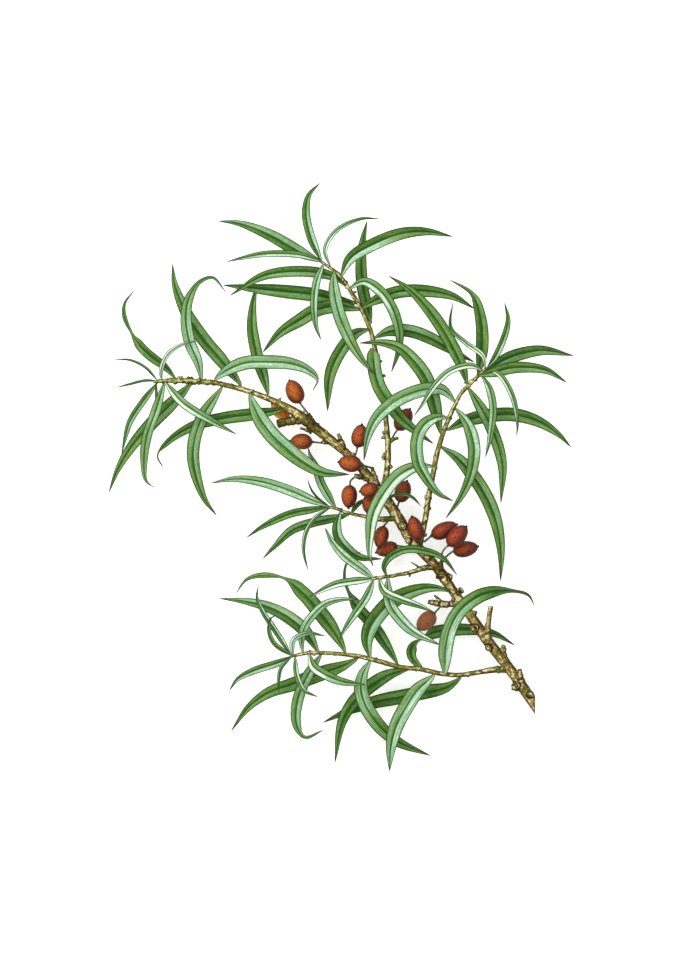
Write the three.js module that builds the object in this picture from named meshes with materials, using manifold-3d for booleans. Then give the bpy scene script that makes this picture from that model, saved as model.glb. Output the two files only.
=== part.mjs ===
// Sea buckthorn sprig, cut from the bush and laid down: a woody stem with five side shoots,
// seventeen berries on thin stalks, and long narrow leaves that curve up and over each other.
// Millimetres, +Z up. The origin is on the surface below the middle of the sprig's box, the cut
// end of the stem points to -Y, and the longest way across the sprig is along +Y.

import * as THREE from 'three';
import { mergeVertices } from 'three/addons/utils/BufferGeometryUtils.js';
import Module from 'manifold-3d';

const wasm = await Module();
wasm.setup();

// ---- Driving dimensions, in mm ----
const PLAN_SQUARE = 0.4; // one square of the plan that the sprig is laid out on
const PLAN_MIDDLE_U = 341; // the square of the plan that stands over the origin
const PLAN_MIDDLE_V = 477;
const LEAF_THICKNESS = 0.6;
const LEAF_FOLD = 0.25; // how far a margin stands above the midrib, as a share of half the width
const LEAF_STEP = 4.6; // length of leaf between two stations
const STEM_STEP = 4.5; // length of stem between two rings
const STALK_RADIUS = 0.4;
const GAP = 0.3; // clear space left between two pieces that touch
const SHOOT_SLACK = 0.1; // more of it at the foot of a side shoot, which meets the stem at a slant
const BASE_HALF = 0.35; // half the thickness of a leaf or stalk where it starts
const SHOOT_SIDES = 7;
const MAIN_SIDES = 10;
const SPUR_SIDES = 6;
const STALK_SIDES = 5;
const BERRY_SIDES = 10;
const BERRY_ARCS = 8; // rings between a berry's stalk and its tip

const LEAF_COLOUR = '#4f8040';
const YOUNG_LEAF_COLOUR = '#8fbf95';
const BARK_COLOUR = '#8a6f33';
const TWIG_COLOUR = '#9a8f3c';
const BERRY_COLOUR = '#b4481c';

const CUT_PLACE = [535, 710, 0]; // where the pruning cut meets the butt of the main stem

// A place on the plan: u squares to the right, v squares down, h mm above the surface.
function place([u, v, h]) {
  const x = (u - PLAN_MIDDLE_U) * PLAN_SQUARE;
  const y = (PLAN_MIDDLE_V - v) * PLAN_SQUARE;
  return new THREE.Vector3(x, y, h);
}

function curveThrough(points) {
  return new THREE.CatmullRomCurve3(points.map(place), false, 'centripetal');
}

// ---- Stems: places along the middle, each with the radius there in mm ----
const stem = (slot, ...stations) => ({ slot, stations });

const stems = {
  main_stem: stem('bark',
    [541, 713.5, 2.2, 2.2], [529.5, 697, 2.2, 2.2], [516.5, 678, 3.9, 2.15], [503, 660.5, 5.8, 2.1],
    [487, 640, 7.5, 2.2], [473.5, 620, 8.7, 2], [453, 591, 10, 1.9], [443, 576, 10.8, 2.35],
    [437, 568, 11.3, 1.9], [427, 556.5, 11.8, 2.1], [411, 540, 12.8, 2.1],
    [399.5, 520, 13.5, 2.3], [385, 498, 14.2, 2.2], [371.5, 480, 14.7, 2],
    [357, 463.5, 15.2, 1.8], [343.5, 450.5, 15.6, 1.8], [325, 435.5, 15.9, 1.95],
    [312, 425.5, 16, 2.2], [300, 416, 16.2, 2.2], [288, 408, 16.5, 1.6], [278, 402.8, 16.7, 1.3],
    [260, 395.3, 16.9, 1.15], [240, 388.8, 17, 1.1], [220, 383.8, 17, 1.05],
    [211, 382.2, 17, 1.05]),
  top_shoot: stem('twig',
    [382, 488, 14.5, 1.3], [387, 470, 16, 1.25], [388, 445, 17, 1.2], [386, 420, 17, 1.1],
    [384, 395, 17.2, 1.1], [378, 365, 17.5, 1.05], [371, 332, 18, 0.95], [357, 301, 18.6, 0.8]),
  right_shoot: stem('twig',
    [419, 549, 12.5, 1.2], [425.5, 518, 14.5, 1.15], [429, 495, 16, 1.2], [433, 475, 17.5, 1.1],
    [438, 450, 19, 1.05], [447, 423, 20.5, 0.95], [461, 393.5, 22.3, 0.8]),
  mid_left_shoot: stem('twig',
    [394, 518.5, 13.6, 1.2], [380, 519, 14, 1.1], [368, 517, 14.5, 0.8], [361, 515.7, 14.8, 0.7]),
  middle_shoot: stem('twig',
    [434, 567, 11.2, 1.3], [424, 568, 12, 1.1], [412, 572, 12.9, 0.9], [397, 575, 13.9, 0.75]),
  lower_left_shoot: stem('bark',
    [509, 670, 5.2, 1.3], [497, 669.5, 5.6, 1.4], [480, 672, 6.4, 1.05], [460, 675, 7.8, 1],
    [440, 673.5, 9, 1], [420, 669, 10.2, 1], [400, 667, 11.2, 1], [380, 661.5, 12.2, 1],
    [360, 656.5, 13, 0.95], [331, 653.2, 13.9, 0.8]),
};

// Short spurs, knobs and stumps that stand on a stem and grew as one with it.
const spurs = {
  main_stem: [
    [[304, 420, 16, 1.7], [290, 421, 15.8, 1.8], [277, 424, 15.5, 1.7]],
    [[313, 423, 16.2, 1.1], [308, 413.5, 16.4, 1]],
    [[312, 432, 15.8, 1], [299.5, 428, 15.6, 0.4]],
    [[344, 448, 15.8, 1.1], [341, 440, 16.5, 1], [338, 433.5, 17, 0.7]],
    [[331, 442, 15.4, 1.1], [321, 442.5, 14.8, 0.8]],
    [[350, 459, 15.6, 1.1], [354.5, 453.5, 16.4, 0.9]],
    [[377, 484, 14.8, 1.2], [372, 467, 16.4, 0.7]],
    [[368, 479, 14.8, 1.3], [354, 475.5, 14.8, 0.9]],
    [[441, 575, 11, 1.3], [441, 561, 12.4, 0.8]],
    [[444, 578, 10.6, 1.6], [450.5, 575, 10.8, 1.1]],
    [[455, 594, 10, 1.6], [462, 590, 10.2, 1.1]],
    [[461, 602, 9.4, 1.5], [444, 604.5, 9.6, 1.4], [428, 601.5, 9.8, 1]],
    [[442, 602, 9.8, 0.8], [434, 595, 10.4, 0.45]],
    [[488, 641, 7.8, 1.7], [487.5, 627, 9.2, 1.4], [488.5, 624, 9.4, 1.05],
      [491, 606, 10.6, 1.05]],
    [[506, 663, 5.8, 1.4], [504, 652, 7, 1], [503.5, 648, 7.5, 1.15], [503.5, 645, 7.8, 0.7]],
    [[524, 689, 3.4, 1.5], [521, 678, 4.8, 1.3], [519.5, 669, 5.8, 0.9]],
    [[521, 688, 3.2, 1.5], [512, 686.5, 3.6, 1.6]],
    [[527, 696, 2.6, 1.6], [531.5, 693, 2.8, 1.3]],
  ],
  top_shoot: [[[388, 443, 17, 0.8], [399, 438, 17.4, 0.3]]],
  middle_shoot: [[[422, 569, 12.2, 0.5], [411, 562, 13, 0.3]]],
};

// ---- Leaves: width in mm and the midrib. A twisted one turns over on the way, by the angles in
// degrees that are paired with shares of its length. A slim one starts to narrow a third of the
// way along. The foot is how wide a leaf starts, as a share of its width. ----
const leaf = (width, ...path) => ({ width, path, turns: [[0, 0], [1, 0]], full: 0.46, foot: 0.22 });
const twisted = (width, turns, ...path) => ({ ...leaf(width, ...path), turns });
const slim = (one) => ({ ...one, full: 0.3 });
const broadFooted = (foot, one) => ({ ...one, foot });

// The soft green tip of each shoot, with the leaves that open from it: one piece.
const tipTufts = {
  left_tip_leaves: {
    twig: [[207, 382.2, 17, 1], [190, 381, 16.6, 1.15], [170, 380.5, 16.2, 1], [153, 382, 16, 0.6]],
    leaves: [
      slim(twisted(4, [[0.38, 0], [0.55, 74], [0.75, 35], [1, 40]], [176, 379, 16.6],
        [165, 367, 17.5], [148, 354, 17.5], [133.5, 338, 16], [124.5, 320, 12], [124, 304, 10],
        [135, 289, 8])),
      twisted(4.8, [[0.55, 0], [0.75, 48], [1, 40]], [202, 382, 17], [198, 362, 19.5],
        [190, 343, 20], [186, 320, 18.5], [189, 298, 16.5], [199, 281.5, 15], [213, 277, 14],
        [226, 292, 12]),
      leaf(1.2, [158, 381, 16.2], [145, 367, 17.5], [130, 360, 17], [113, 359.5, 16]),
      leaf(1.2, [158, 381, 16.2], [145, 380.5, 16.5], [130, 384, 16], [115, 388, 15]),
      leaf(2, [162, 381, 16.4], [161, 370, 19.5], [168, 354, 21.5], [182, 344.5, 22.6],
        [198, 341, 22.8]),
      leaf(2.8, [158, 382, 16], [142, 403, 15.5], [130, 422, 13], [121.5, 454, 9]),
      slim(leaf(5.6, [193, 382, 16.2], [170, 405, 12.5], [150, 425, 9], [132, 446, 5.5],
        [118, 469, 2.8], [109, 492, 0])),
      twisted(4, [[0.8, 0], [1, 65]], [165, 381, 16.2], [155, 413, 18], [147, 436, 17],
        [144, 460, 14], [146, 480, 12], [156, 488.5, 12]),
      leaf(1.2, [156, 382, 16], [157, 403, 16.5], [160, 416, 16]),
      leaf(3.6, [164, 381, 16.4], [183, 403, 20], [210, 420, 20.5], [236, 434, 18.5]),
    ],
  },
  top_tip_leaves: {
    twig: [[353.5, 296, 18.8, 0.75], [340, 276, 19.5, 0.8], [322, 262, 20, 0.6]],
    leaves: [
      leaf(3.6, [322, 262, 20], [311, 237, 20], [306, 213, 16], [309, 195, 11.5], [320, 183, 8]),
      slim(leaf(5.2, [322, 262, 19.8], [300, 252, 17], [270, 235, 11.5], [240, 223.5, 5],
        [219, 221, 0])),
      leaf(2.8, [322, 262, 20.2], [300, 255, 21], [265, 254, 19], [238, 259, 16], [226, 262, 14]),
      leaf(4.4, [347, 287, 18.9], [338, 279, 18.5], [320, 273, 18.6], [290, 271.5, 18.5],
        [262, 276.5, 16], [230, 295.5, 12]),
      leaf(3.2, [324, 263, 20], [317, 280, 22.5], [314, 302, 23], [316, 326, 20], [321, 340, 18]),
      leaf(5.2, [334, 271, 19.8], [334, 288, 23.5], [338, 310, 26], [347, 334, 26],
        [360, 357, 25], [374, 374, 23.5]),
      leaf(2, [331, 268, 19.9], [325, 250, 22], [336, 231, 23], [360, 219, 22], [382, 219, 20]),
      leaf(5.2, [341, 277, 19.6], [350, 259, 22.5], [370, 246, 24], [400, 234, 23],
        [425, 231.5, 20], [453, 236.5, 16]),
      leaf(4.4, [349, 289, 19.2], [364, 281.5, 22], [380, 291, 23], [392, 308, 22],
        [399, 330, 19.5], [399, 348, 18.5], [391.5, 372, 16.5]),
    ],
  },
  right_tip_leaves: {
    twig: [[463.5, 390, 22.6, 0.75], [478, 376, 23.5, 0.8], [487, 368, 24, 0.6]],
    leaves: [
      slim(twisted(5.2, [[0.6, 0], [0.78, 52], [1, 42]], [478, 376, 23.5], [482, 350, 24],
        [481, 320, 22], [473, 296, 19.5], [449, 279.5, 17])),
      slim(leaf(2.2, [485, 370, 24], [483, 356, 27], [466, 343, 28], [451, 328, 27.5],
        [453, 301, 25])),
      leaf(2.8, [487, 368, 24.2], [497, 354, 26], [508, 322, 24], [504.5, 302, 21]),
      slim(leaf(5.2, [487, 370, 23.8], [510, 357.5, 18.5], [540, 350.5, 11], [573, 355.5, 0])),
      slim(leaf(4.8, [478, 376, 23.8], [495, 372, 26.5], [515, 367.5, 25], [545, 370, 20],
        [567, 382.5, 14])),
      leaf(2.4, [487, 369, 24.2], [500, 375, 28], [513, 398, 27], [517.5, 425, 23],
        [516.5, 436, 21.5]),
      leaf(3.2, [481, 374, 23.8], [489, 388, 25.5], [493, 407, 25.5], [490, 437, 22.5],
        [485.5, 457.5, 20]),
      leaf(4.8, [467, 386, 23], [476, 400, 22.3], [490, 425, 20.8], [502, 463, 16.5],
        [501, 503, 12]),
      leaf(2.8, [484, 371, 24], [470, 365.5, 29], [450, 371, 31.5], [435, 385, 32],
        [422, 405, 31], [414, 416, 29.5]),
      leaf(5.2, [468, 386, 22.9], [461, 364, 22.4], [445, 333, 21], [430, 311, 20.5],
        [410, 290, 20], [389, 276, 19.5]),
    ],
  },
  mid_left_tip_leaves: {
    twig: [[357.5, 515, 15, 0.65], [345, 512, 15.5, 0.65], [336, 508.5, 16, 0.7],
      [328, 507, 16, 0.5]],
    leaves: [
      leaf(4.2, [330, 507, 16], [312, 500, 17], [288, 490, 16], [262, 482, 13], [235, 479, 9],
        [211, 483, 5]),
      leaf(1, [330, 507, 16], [318, 498, 18], [311, 489, 19], [307, 477, 19]),
      leaf(3.6, [336, 508.5, 16], [328, 496, 17.3], [321, 483, 17], [315, 465, 16],
        [310, 455, 17], [308, 447, 17.8]),
      leaf(3.2, [330, 507, 16], [310, 510, 15.5], [290, 514, 13.5], [262, 527, 8], [246, 538, 5]),
      leaf(3.8, [351, 513.5, 15.2], [340, 517, 13.5], [315, 522, 11], [292, 530, 8.5],
        [275, 546, 5], [262.5, 559, 2]),
      leaf(1.8, [331, 507.2, 16], [315, 518, 17], [306, 532, 17], [303.5, 550, 15],
        [308.5, 572, 11]),
      leaf(4, [341, 511, 15.7], [337, 524, 16], [338, 536, 15], [346, 547, 13.5],
        [360, 557, 12.3], [382, 559, 12]),
      leaf(2, [351, 513.5, 15.2], [357, 505, 12.5], [364, 500.5, 10.5], [370, 500, 10]),
    ],
  },
  middle_tip_leaves: {
    twig: [[393.5, 575.7, 14.1, 0.7], [384, 577, 14.6, 0.75], [372, 579, 15, 0.65]],
    leaves: [
      leaf(3.8, [374, 578.5, 15], [362, 569, 17], [345, 556.5, 18.6], [333, 543, 18.6],
        [325, 528, 17]),
      leaf(3.2, [374, 579, 15], [355, 581, 16.5], [335, 584.5, 17.3], [309, 597, 16]),
      leaf(3.2, [387, 576.5, 14.8], [384, 567, 17.5], [390, 557, 20], [406, 549.5, 22],
        [425, 551, 21], [443, 558, 18], [457, 575, 13.5]),
      leaf(3.2, [374, 579, 15], [366, 598, 18], [354, 615, 19], [342, 634, 17.5], [340, 640, 17]),
      leaf(3.2, [379, 578, 15], [384, 591, 19], [400, 599, 23], [420, 606, 22],
        [434.5, 612.5, 19]),
      leaf(4.6, [388, 576.5, 14.6], [388, 592, 17], [391, 606, 19.5], [401, 620, 20],
        [414, 632, 18], [440, 645, 13.5]),
    ],
  },
  lower_left_tip_leaves: {
    twig: [[327.5, 653, 14, 0.75], [308, 653, 14.6, 0.8], [291, 656.5, 14.8, 0.6]],
    leaves: [
      leaf(3.4, [303, 653.5, 14.7], [301.5, 640, 15.5], [304, 628, 16.2], [312, 616, 17.3],
        [325, 604, 18], [340, 599.5, 18.4], [359, 599.5, 18]),
      leaf(2.2, [293, 656, 14.9], [292.5, 642, 17.5], [298, 636.5, 19], [308, 633, 19.5],
        [325, 636, 18]),
      slim(leaf(5.4, [319, 653, 14.2], [306, 632, 11.5], [289, 617.5, 9.5], [267, 606.5, 8],
        [244, 601, 6], [219.5, 598.5, 4])),
      leaf(2.4, [292, 656, 14.8], [275, 630, 13.3], [262, 610, 12.3], [257, 597, 12],
        [258.5, 585, 11.5]),
      leaf(2, [292, 656, 14.8], [274, 643, 15.2], [269, 630, 16], [271, 618, 16.5],
        [276.5, 615.5, 16]),
      leaf(3.2, [293, 656, 14.6], [278, 663, 12], [256, 670, 8.5], [238, 679, 6],
        [229, 691, 4]),
      leaf(1.6, [292, 656, 14.9], [281, 668, 14.3], [278.5, 682, 12.5], [279, 693, 11]),
      leaf(2.2, [295, 655.5, 14.9], [297, 676, 16.8], [304, 690, 16.3], [318, 697, 15]),
      twisted(4.6, [[0.66, 0], [0.8, 48], [1, 20]], [322, 653.2, 14.1], [311, 670, 13],
        [303, 685, 12.5], [297, 704, 11], [296.5, 723, 9], [305, 736.5, 7.5], [323, 730, 8]),
      leaf(3.8, [309, 653, 14.8], [313, 666, 17.3], [324, 674, 19.5], [340, 681, 20.3],
        [366, 685, 18.8]),
    ],
  },
};

// Leaves that stand on their own along the stems.
const singleLeaves = {
  leaf_left_1: leaf(5.6, [241, 386, 16.8], [222, 361, 14], [205, 341, 12], [188, 316, 10],
    [175, 285, 8], [172.5, 264, 6]),
  leaf_left_2: twisted(5.6, [[0.82, 0], [0.93, 62], [1, 50]], [215, 380, 17.6],
    [226, 371, 19.5], [245, 363, 21], [268, 362, 21], [290, 363.5, 20], [308, 370, 18],
    [318, 380, 16.5], [313, 391, 15]),
  leaf_left_3: leaf(4.8, [268, 395, 16.4], [264, 378, 14], [257, 355, 12.5], [252, 325, 10.5],
    [254, 298, 7.5], [258, 284, 6]),
  leaf_left_4: leaf(5.2, [222, 387, 16.6], [204, 414, 15.5], [195, 437, 13], [193.5, 462, 9.5],
    [204, 498, 4], [216.5, 515.5, 1.5]),
  leaf_left_5: slim(twisted(5.2, [[0.82, 0], [0.9, 60], [1, 25]], [288, 408, 15.4],
    [275, 411, 14.4], [255, 414, 13], [225, 418, 11.5], [200, 423.5, 10], [180, 433, 8],
    [165, 445, 5.5], [158, 456, 4], [163, 467, 3])),
  leaf_left_6: leaf(6.6, [250, 394, 17.6], [258, 415, 21], [272, 435, 23.5], [288, 450, 24],
    [305, 463, 23], [322, 472, 21.5], [349, 474.5, 18]),

  leaf_top_1: leaf(5.6, [357, 303, 17.8], [340, 301, 15], [315, 295, 13.5], [285, 291.5, 11.5],
    [255, 288.5, 9.5], [223, 285, 7]),
  leaf_top_2: leaf(5.6, [361, 310, 18.2], [340, 306, 17.3], [318, 309.5, 15.5], [300, 320, 13.5],
    [280, 333, 11.5], [263, 352, 9.5]),
  leaf_top_3: leaf(4.8, [370, 321, 17.4], [368, 310, 15], [363, 290, 14], [361, 265, 13.6],
    [363, 240, 12], [367, 221, 10]),
  leaf_top_4: leaf(5.2, [361, 309, 18.4], [374, 301, 17.6], [398, 292, 15.5], [425, 291, 14.5],
    [452, 296, 14], [475, 309, 13]),
  leaf_top_5: leaf(5.2, [374, 338, 17.9], [390, 331, 16.5], [410, 331, 15.5], [430, 338, 15],
    [455, 352, 14], [474, 362, 13]),
  leaf_top_6: leaf(5.2, [370, 329, 17.8], [355, 334, 15.5], [340, 352, 14], [330, 375, 12.5],
    [327.5, 411, 9]),
  leaf_top_7: broadFooted(0.5, leaf(5.6, [373.5, 352, 19.4], [373.5, 359, 20.8],
    [375, 372, 21], [379, 386, 20.8], [388.5, 402, 20.5], [401, 418.5, 20.4],
    [415, 430.5, 19.9], [433, 443.5, 19])),

  leaf_right_1: leaf(5.6, [447, 430, 20], [465, 421, 18], [487, 416, 17], [512, 414.5, 15],
    [537, 421, 12.5], [558, 434, 10], [571, 447, 8]),
  leaf_right_2: leaf(5.6, [440, 446, 19], [459, 459, 16.5], [474, 477, 14], [488, 500, 10.5],
    [497, 525, 6.8], [501, 552, 3.2], [500.5, 580.5, 0]),
  leaf_right_3: leaf(5.6, [455, 402, 22], [442, 389.5, 25.5], [425, 389.5, 27.5], [405, 396, 28],
    [390, 405, 27], [376, 419, 25], [368, 436, 22.5], [364, 460, 18]),
  leaf_right_4: leaf(5.2, [447, 418, 21.2], [436, 417.5, 25], [424, 425, 27], [417, 440, 27.5],
    [418, 461, 27], [424, 474, 25.5], [438, 493, 21.5], [453, 501, 19]),
  leaf_right_5: leaf(5.6, [433, 466, 18.2], [415, 467, 21.5], [397, 477, 23.5], [382, 496, 25],
    [373, 515, 24], [370, 535, 20], [369.5, 555, 17], [373, 566, 15.8]),
  leaf_right_6: slim(leaf(5.2, [456, 409, 21.5], [468, 425, 22.5], [474, 447, 21.5],
    [471.5, 472, 18.5], [461.5, 496, 15], [446, 518, 12])),
  leaf_right_7: leaf(5.8, [441, 434, 20], [437, 415, 21.6], [427, 380, 24.3], [414, 361, 23.5],
    [398, 347, 22], [380, 342.5, 21.3], [360, 343, 20.5]),

  leaf_lower_1: broadFooted(0.35, twisted(5.2, [[0.1, 0], [0.27, 78], [0.42, 0]],
    [421, 668, 10], [413, 659, 9.5], [411, 652, 9], [413, 644, 8], [425, 635, 6],
    [450, 630, 4], [475, 630, 3], [495, 634, 2.4], [514.5, 645, 1.2])),
  leaf_lower_2: leaf(6.4, [370, 657, 13.3], [367, 642, 14.5], [370, 628, 15.3], [379, 614, 15.6],
    [391, 602, 15.3], [408, 593, 14.8], [428, 588, 15], [446, 590, 15.9], [453, 594, 16.2]),
  leaf_lower_3: twisted(4.8, [[0.47, 0], [0.63, 74], [0.86, 68], [1, 60]],
    [398, 665, 11.8], [385, 643, 11], [372, 624, 10.3], [358, 608, 10.3], [347, 592, 11],
    [343, 576, 12.5], [346, 562, 15], [354, 554, 16.2], [362.5, 550.5, 16.2]),
  leaf_lower_4: slim(twisted(6.2, [[0.48, 0], [0.64, 72], [0.78, 40], [1, 55]],
    [345, 652, 13.6], [333, 630, 12.5], [318, 610, 11.5], [303, 593, 11], [284, 580, 10.5],
    [262, 576, 10], [247, 580, 9], [236, 594, 7])),
  leaf_lower_5: slim(leaf(6, [358, 658, 12.6], [345, 665, 11], [320, 674, 8.5], [295, 683.5, 7],
    [268, 693, 5], [248, 708, 3], [231.5, 730.5, 0])),
  leaf_lower_6: slim(leaf(5.6, [409, 669, 10.8], [388, 675, 9.5], [368, 688, 8.5],
    [351, 705, 6.5], [341, 725, 4], [335, 762, 0])),
  leaf_lower_7: leaf(5.8, [371, 660, 12.8], [363, 674, 15], [361, 690, 15.5], [368, 710, 14],
    [382, 729, 11], [398, 742, 8.5], [430, 755.5, 5]),
  leaf_lower_8: leaf(6.2, [434, 675, 9.5], [417, 691, 14], [405, 709, 17], [396, 727, 16],
    [391, 747, 11], [389.5, 771, 4]),
  leaf_lower_9: leaf(5.8, [461, 677, 7.6], [447, 687, 6], [425, 692, 4.5], [400, 697, 3.5],
    [375, 702, 3], [350, 710, 2.5], [323, 722.5, 1.5]),
  leaf_lower_10: twisted(6, [[0.56, 0], [0.8, 60], [0.9, 50], [1, 58]], [445, 672, 10],
    [445.5, 650, 16], [449.5, 630, 19], [459, 612, 21], [474, 599, 21], [495, 590.5, 18.5],
    [515, 590, 15], [529, 595, 11], [535.5, 607, 8]),

  leaf_main_1: leaf(1.6, [390, 497, 16.6], [402, 494, 19.5], [412, 497, 19], [421, 506, 17.5]),
};

// ---- Berries: width in mm, the dry calyx at one end, the stalk's end, and the stalk's way ----
const berry = (width, calyx, end, ...stalk) => ({ width, calyx, end, stalk });

const berries = [
  berry(7.2, [289.5, 380.5, 14.6], [300, 403, 15.4], [308, 413.5, 16.2]),
  berry(6.4, [272, 404, 9.6], [289, 417, 10.4], [297, 421, 13]),
  berry(6.4, [290.5, 441, 12.2], [312.5, 442, 12.8], [322, 443, 14.5]),
  berry(6.6, [362, 424.5, 16.8], [357.5, 447.5, 16.2], [355.5, 455, 16.5]),
  berry(6.8, [338.5, 462, 20.6], [361.5, 465, 20.6], [372, 468, 17.5]),
  berry(6.4, [348.5, 508, 15.5], [350, 485, 15.5], [350.5, 481, 15.3], [356, 476, 15]),
  berry(6.2, [360, 491.5, 19.8], [379, 489, 20], [385, 488, 17]),
  berry(5.6, [367, 512.5, 14.2], [371, 494, 14.2], [374, 489, 14.2]),
  berry(6.6, [407, 481, 14], [399, 502, 14], [396, 510, 14]),
  berry(6.8, [410, 409, 13.8], [397, 430, 14.8], [391, 440, 16.8]),
  berry(6.2, [412, 516.5, 18.8], [419, 541, 17.4], [420, 546, 14]),
  berry(5.8, [378.5, 548, 15], [384, 526, 15], [390, 519, 14]),
  berry(6, [376, 552.5, 9.2], [398, 546, 9.6], [406, 547, 10], [414, 549, 11]),
  berry(6.6, [457, 524.5, 9.6], [431.5, 536, 10.4], [424, 542, 12]),
  berry(7, [466.5, 526.5, 15], [448, 545.5, 15], [443, 551, 14.6], [441, 561, 12.6]),
  berry(6.4, [478, 546.5, 9.2], [453, 551.5, 9.8], [447, 556, 11], [442, 563, 12.2]),
  berry(6.8, [418, 629.5, 10.6], [434.5, 613, 10.4], [441, 606, 9.8]),
];

// ---- Shapes ----

// A closed skin over a row of rings. Each ring is a list of points, and a ring of one is a tip.
function skin(rings) {
  const positions = [];
  const starts = [];
  for (const ring of rings) {
    starts.push(positions.length / 3);
    for (const point of ring) positions.push(point.x, point.y, point.z);
  }
  const faces = [];
  for (let i = 0; i + 1 < rings.length; i += 1) {
    const sides = Math.max(rings[i].length, rings[i + 1].length);
    for (let k = 0; k < sides; k += 1) {
      const next = (k + 1) % sides;
      const a = starts[i] + (k % rings[i].length);
      const b = starts[i] + (next % rings[i].length);
      const c = starts[i + 1] + (next % rings[i + 1].length);
      const d = starts[i + 1] + (k % rings[i + 1].length);
      if (a !== b) faces.push(a, c, b);
      if (c !== d) faces.push(a, d, c);
    }
  }
  const first = starts[0];
  for (let k = 1; k + 1 < rings[0].length; k += 1) {
    faces.push(first, first + k, first + k + 1);
  }
  const last = starts[rings.length - 1];
  for (let k = 1; k + 1 < rings[rings.length - 1].length; k += 1) {
    faces.push(last, last + k + 1, last + k);
  }
  const geometry = new THREE.BufferGeometry();
  geometry.setAttribute('position', new THREE.Float32BufferAttribute(positions, 3));
  geometry.setIndex(faces);
  return geometry;
}

// The two directions across a curve: one level, one square to it and pointing up.
function across(tangent, roll) {
  const side = new THREE.Vector3().crossVectors(tangent, new THREE.Vector3(0, 0, 1)).normalize();
  const up = new THREE.Vector3().crossVectors(side, tangent).normalize();
  side.applyAxisAngle(tangent, roll);
  up.applyAxisAngle(tangent, roll);
  return { side, up };
}

function ringAt(curve, t, radius, sides) {
  const centre = curve.getPointAt(t);
  const { side, up } = across(curve.getTangentAt(t), 0);
  const ring = [];
  for (let k = 0; k < sides; k += 1) {
    const angle = (2 * Math.PI * k) / sides;
    const point = centre.clone().addScaledVector(side, radius * Math.cos(angle));
    ring.push(point.addScaledVector(up, radius * Math.sin(angle)));
  }
  return ring;
}

// A tapered round stem through stations of place and radius.
function stemGeometry(stations, sides, from = 0) {
  const curve = curveThrough(stations);
  const lengths = [0];
  for (let i = 1; i < stations.length; i += 1) {
    lengths.push(lengths[i - 1] + place(stations[i]).distanceTo(place(stations[i - 1])));
  }
  const total = lengths[lengths.length - 1];
  const radiusAt = (t) => {
    let i = 1;
    while (i < stations.length - 1 && lengths[i] < t * total) i += 1;
    const share = (t * total - lengths[i - 1]) / (lengths[i] - lengths[i - 1]);
    const within = THREE.MathUtils.clamp(share, 0, 1);
    return THREE.MathUtils.lerp(stations[i - 1][3], stations[i][3], within);
  };
  const steps = Math.max(2, Math.round(curve.getLength() / STEM_STEP));
  const rings = [];
  for (let i = 0; i <= steps; i += 1) {
    const t = from + (1 - from) * (i / steps);
    rings.push(ringAt(curve, t, radiusAt(t), sides));
  }
  return skin(rings);
}

// The width of a leaf at a share of its length, as a share of its full width: quick to widen from
// a narrow foot, and long and slim to the tip from where it stops being at its fullest.
function leafOutline(t, full, foot) {
  const opening = 0.28;
  if (t < opening) return foot + (1 - foot) * Math.sin((Math.PI / 2) * (t / opening));
  if (t < full) return 1;
  return Math.cos((Math.PI / 2) * ((t - full) / (1 - full))) ** 0.95;
}

// A value that moves softly through pairs of a share of the length and the value there.
function eased(share, steps) {
  const next = steps.findIndex(([high]) => share < high);
  if (next < 0) return steps[steps.length - 1][1];
  const [low, start] = steps[Math.max(next - 1, 0)];
  const [high, end] = steps[next];
  return THREE.MathUtils.lerp(start, end, THREE.MathUtils.smoothstep(share, low, high));
}

function leafGeometry({ width, path, turns, full, foot }, from = 0) {
  const curve = curveThrough(path);
  const fewest = 5;
  const most = 14;
  const steps = THREE.MathUtils.clamp(Math.round(curve.getLength() / LEAF_STEP), fewest, most);
  const rings = [];
  for (let i = 0; i < steps; i += 1) {
    const t = from + (1 - from) * (i / steps);
    const turn = THREE.MathUtils.degToRad(eased(t, turns));
    const { side, up } = across(curve.getTangentAt(t), turn);
    const half = (width / 2) * leafOutline((t - from) / (1 - from), full, foot);
    const rise = half * LEAF_FOLD;
    const thick = Math.min(LEAF_THICKNESS, half) / 2;
    const middle = curve.getPointAt(t);
    const at = (s, h) => middle.clone().addScaledVector(side, s).addScaledVector(up, h);
    rings.push([at(half, rise), at(0, thick), at(-half, rise), at(0, -thick)]);
  }
  rings.push([curve.getPointAt(1)]);
  return skin(rings);
}

// The share of a path after which it stays clear of the middle lines of the stems near its start.
function clearStart(curve, extra, against) {
  const reach = 0.4;
  const samples = 200;
  let start = 0;
  for (let i = 0; i <= samples * reach; i += 1) {
    const point = curve.getPointAt(i / samples);
    const blocked = against.some(({ points, radii }) =>
      points.some((p, k) => p.distanceTo(point) < radii[k] + GAP + extra));
    if (blocked) start = (i + 1) / samples;
    else if (i > 0) break;
  }
  return start;
}

// A stem's middle line as many points with their radii, for keeping other pieces clear of it.
function middleLine(stations) {
  const curve = curveThrough(stations);
  const points = [];
  const radii = [];
  const samples = 240;
  for (let i = 0; i <= samples; i += 1) {
    const point = curve.getPointAt(i / samples);
    const nearest = stations.reduce((best, s) =>
      (place(s).distanceTo(point) < place(best).distanceTo(point) ? s : best));
    points.push(point);
    radii.push(nearest[3]);
  }
  return { points, radii };
}

// A geometry as a solid that can be joined and cut, with its corners merged.
function solid(geometry) {
  const same = 1e-4;
  const bare = geometry.clone();
  bare.deleteAttribute('normal');
  bare.deleteAttribute('uv');
  const merged = mergeVertices(bare, same);
  return new wasm.Manifold(new wasm.Mesh({
    numProp: 3,
    vertProperties: new Float32Array(merged.attributes.position.array),
    triVerts: new Uint32Array(merged.index.array),
  }));
}

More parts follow.
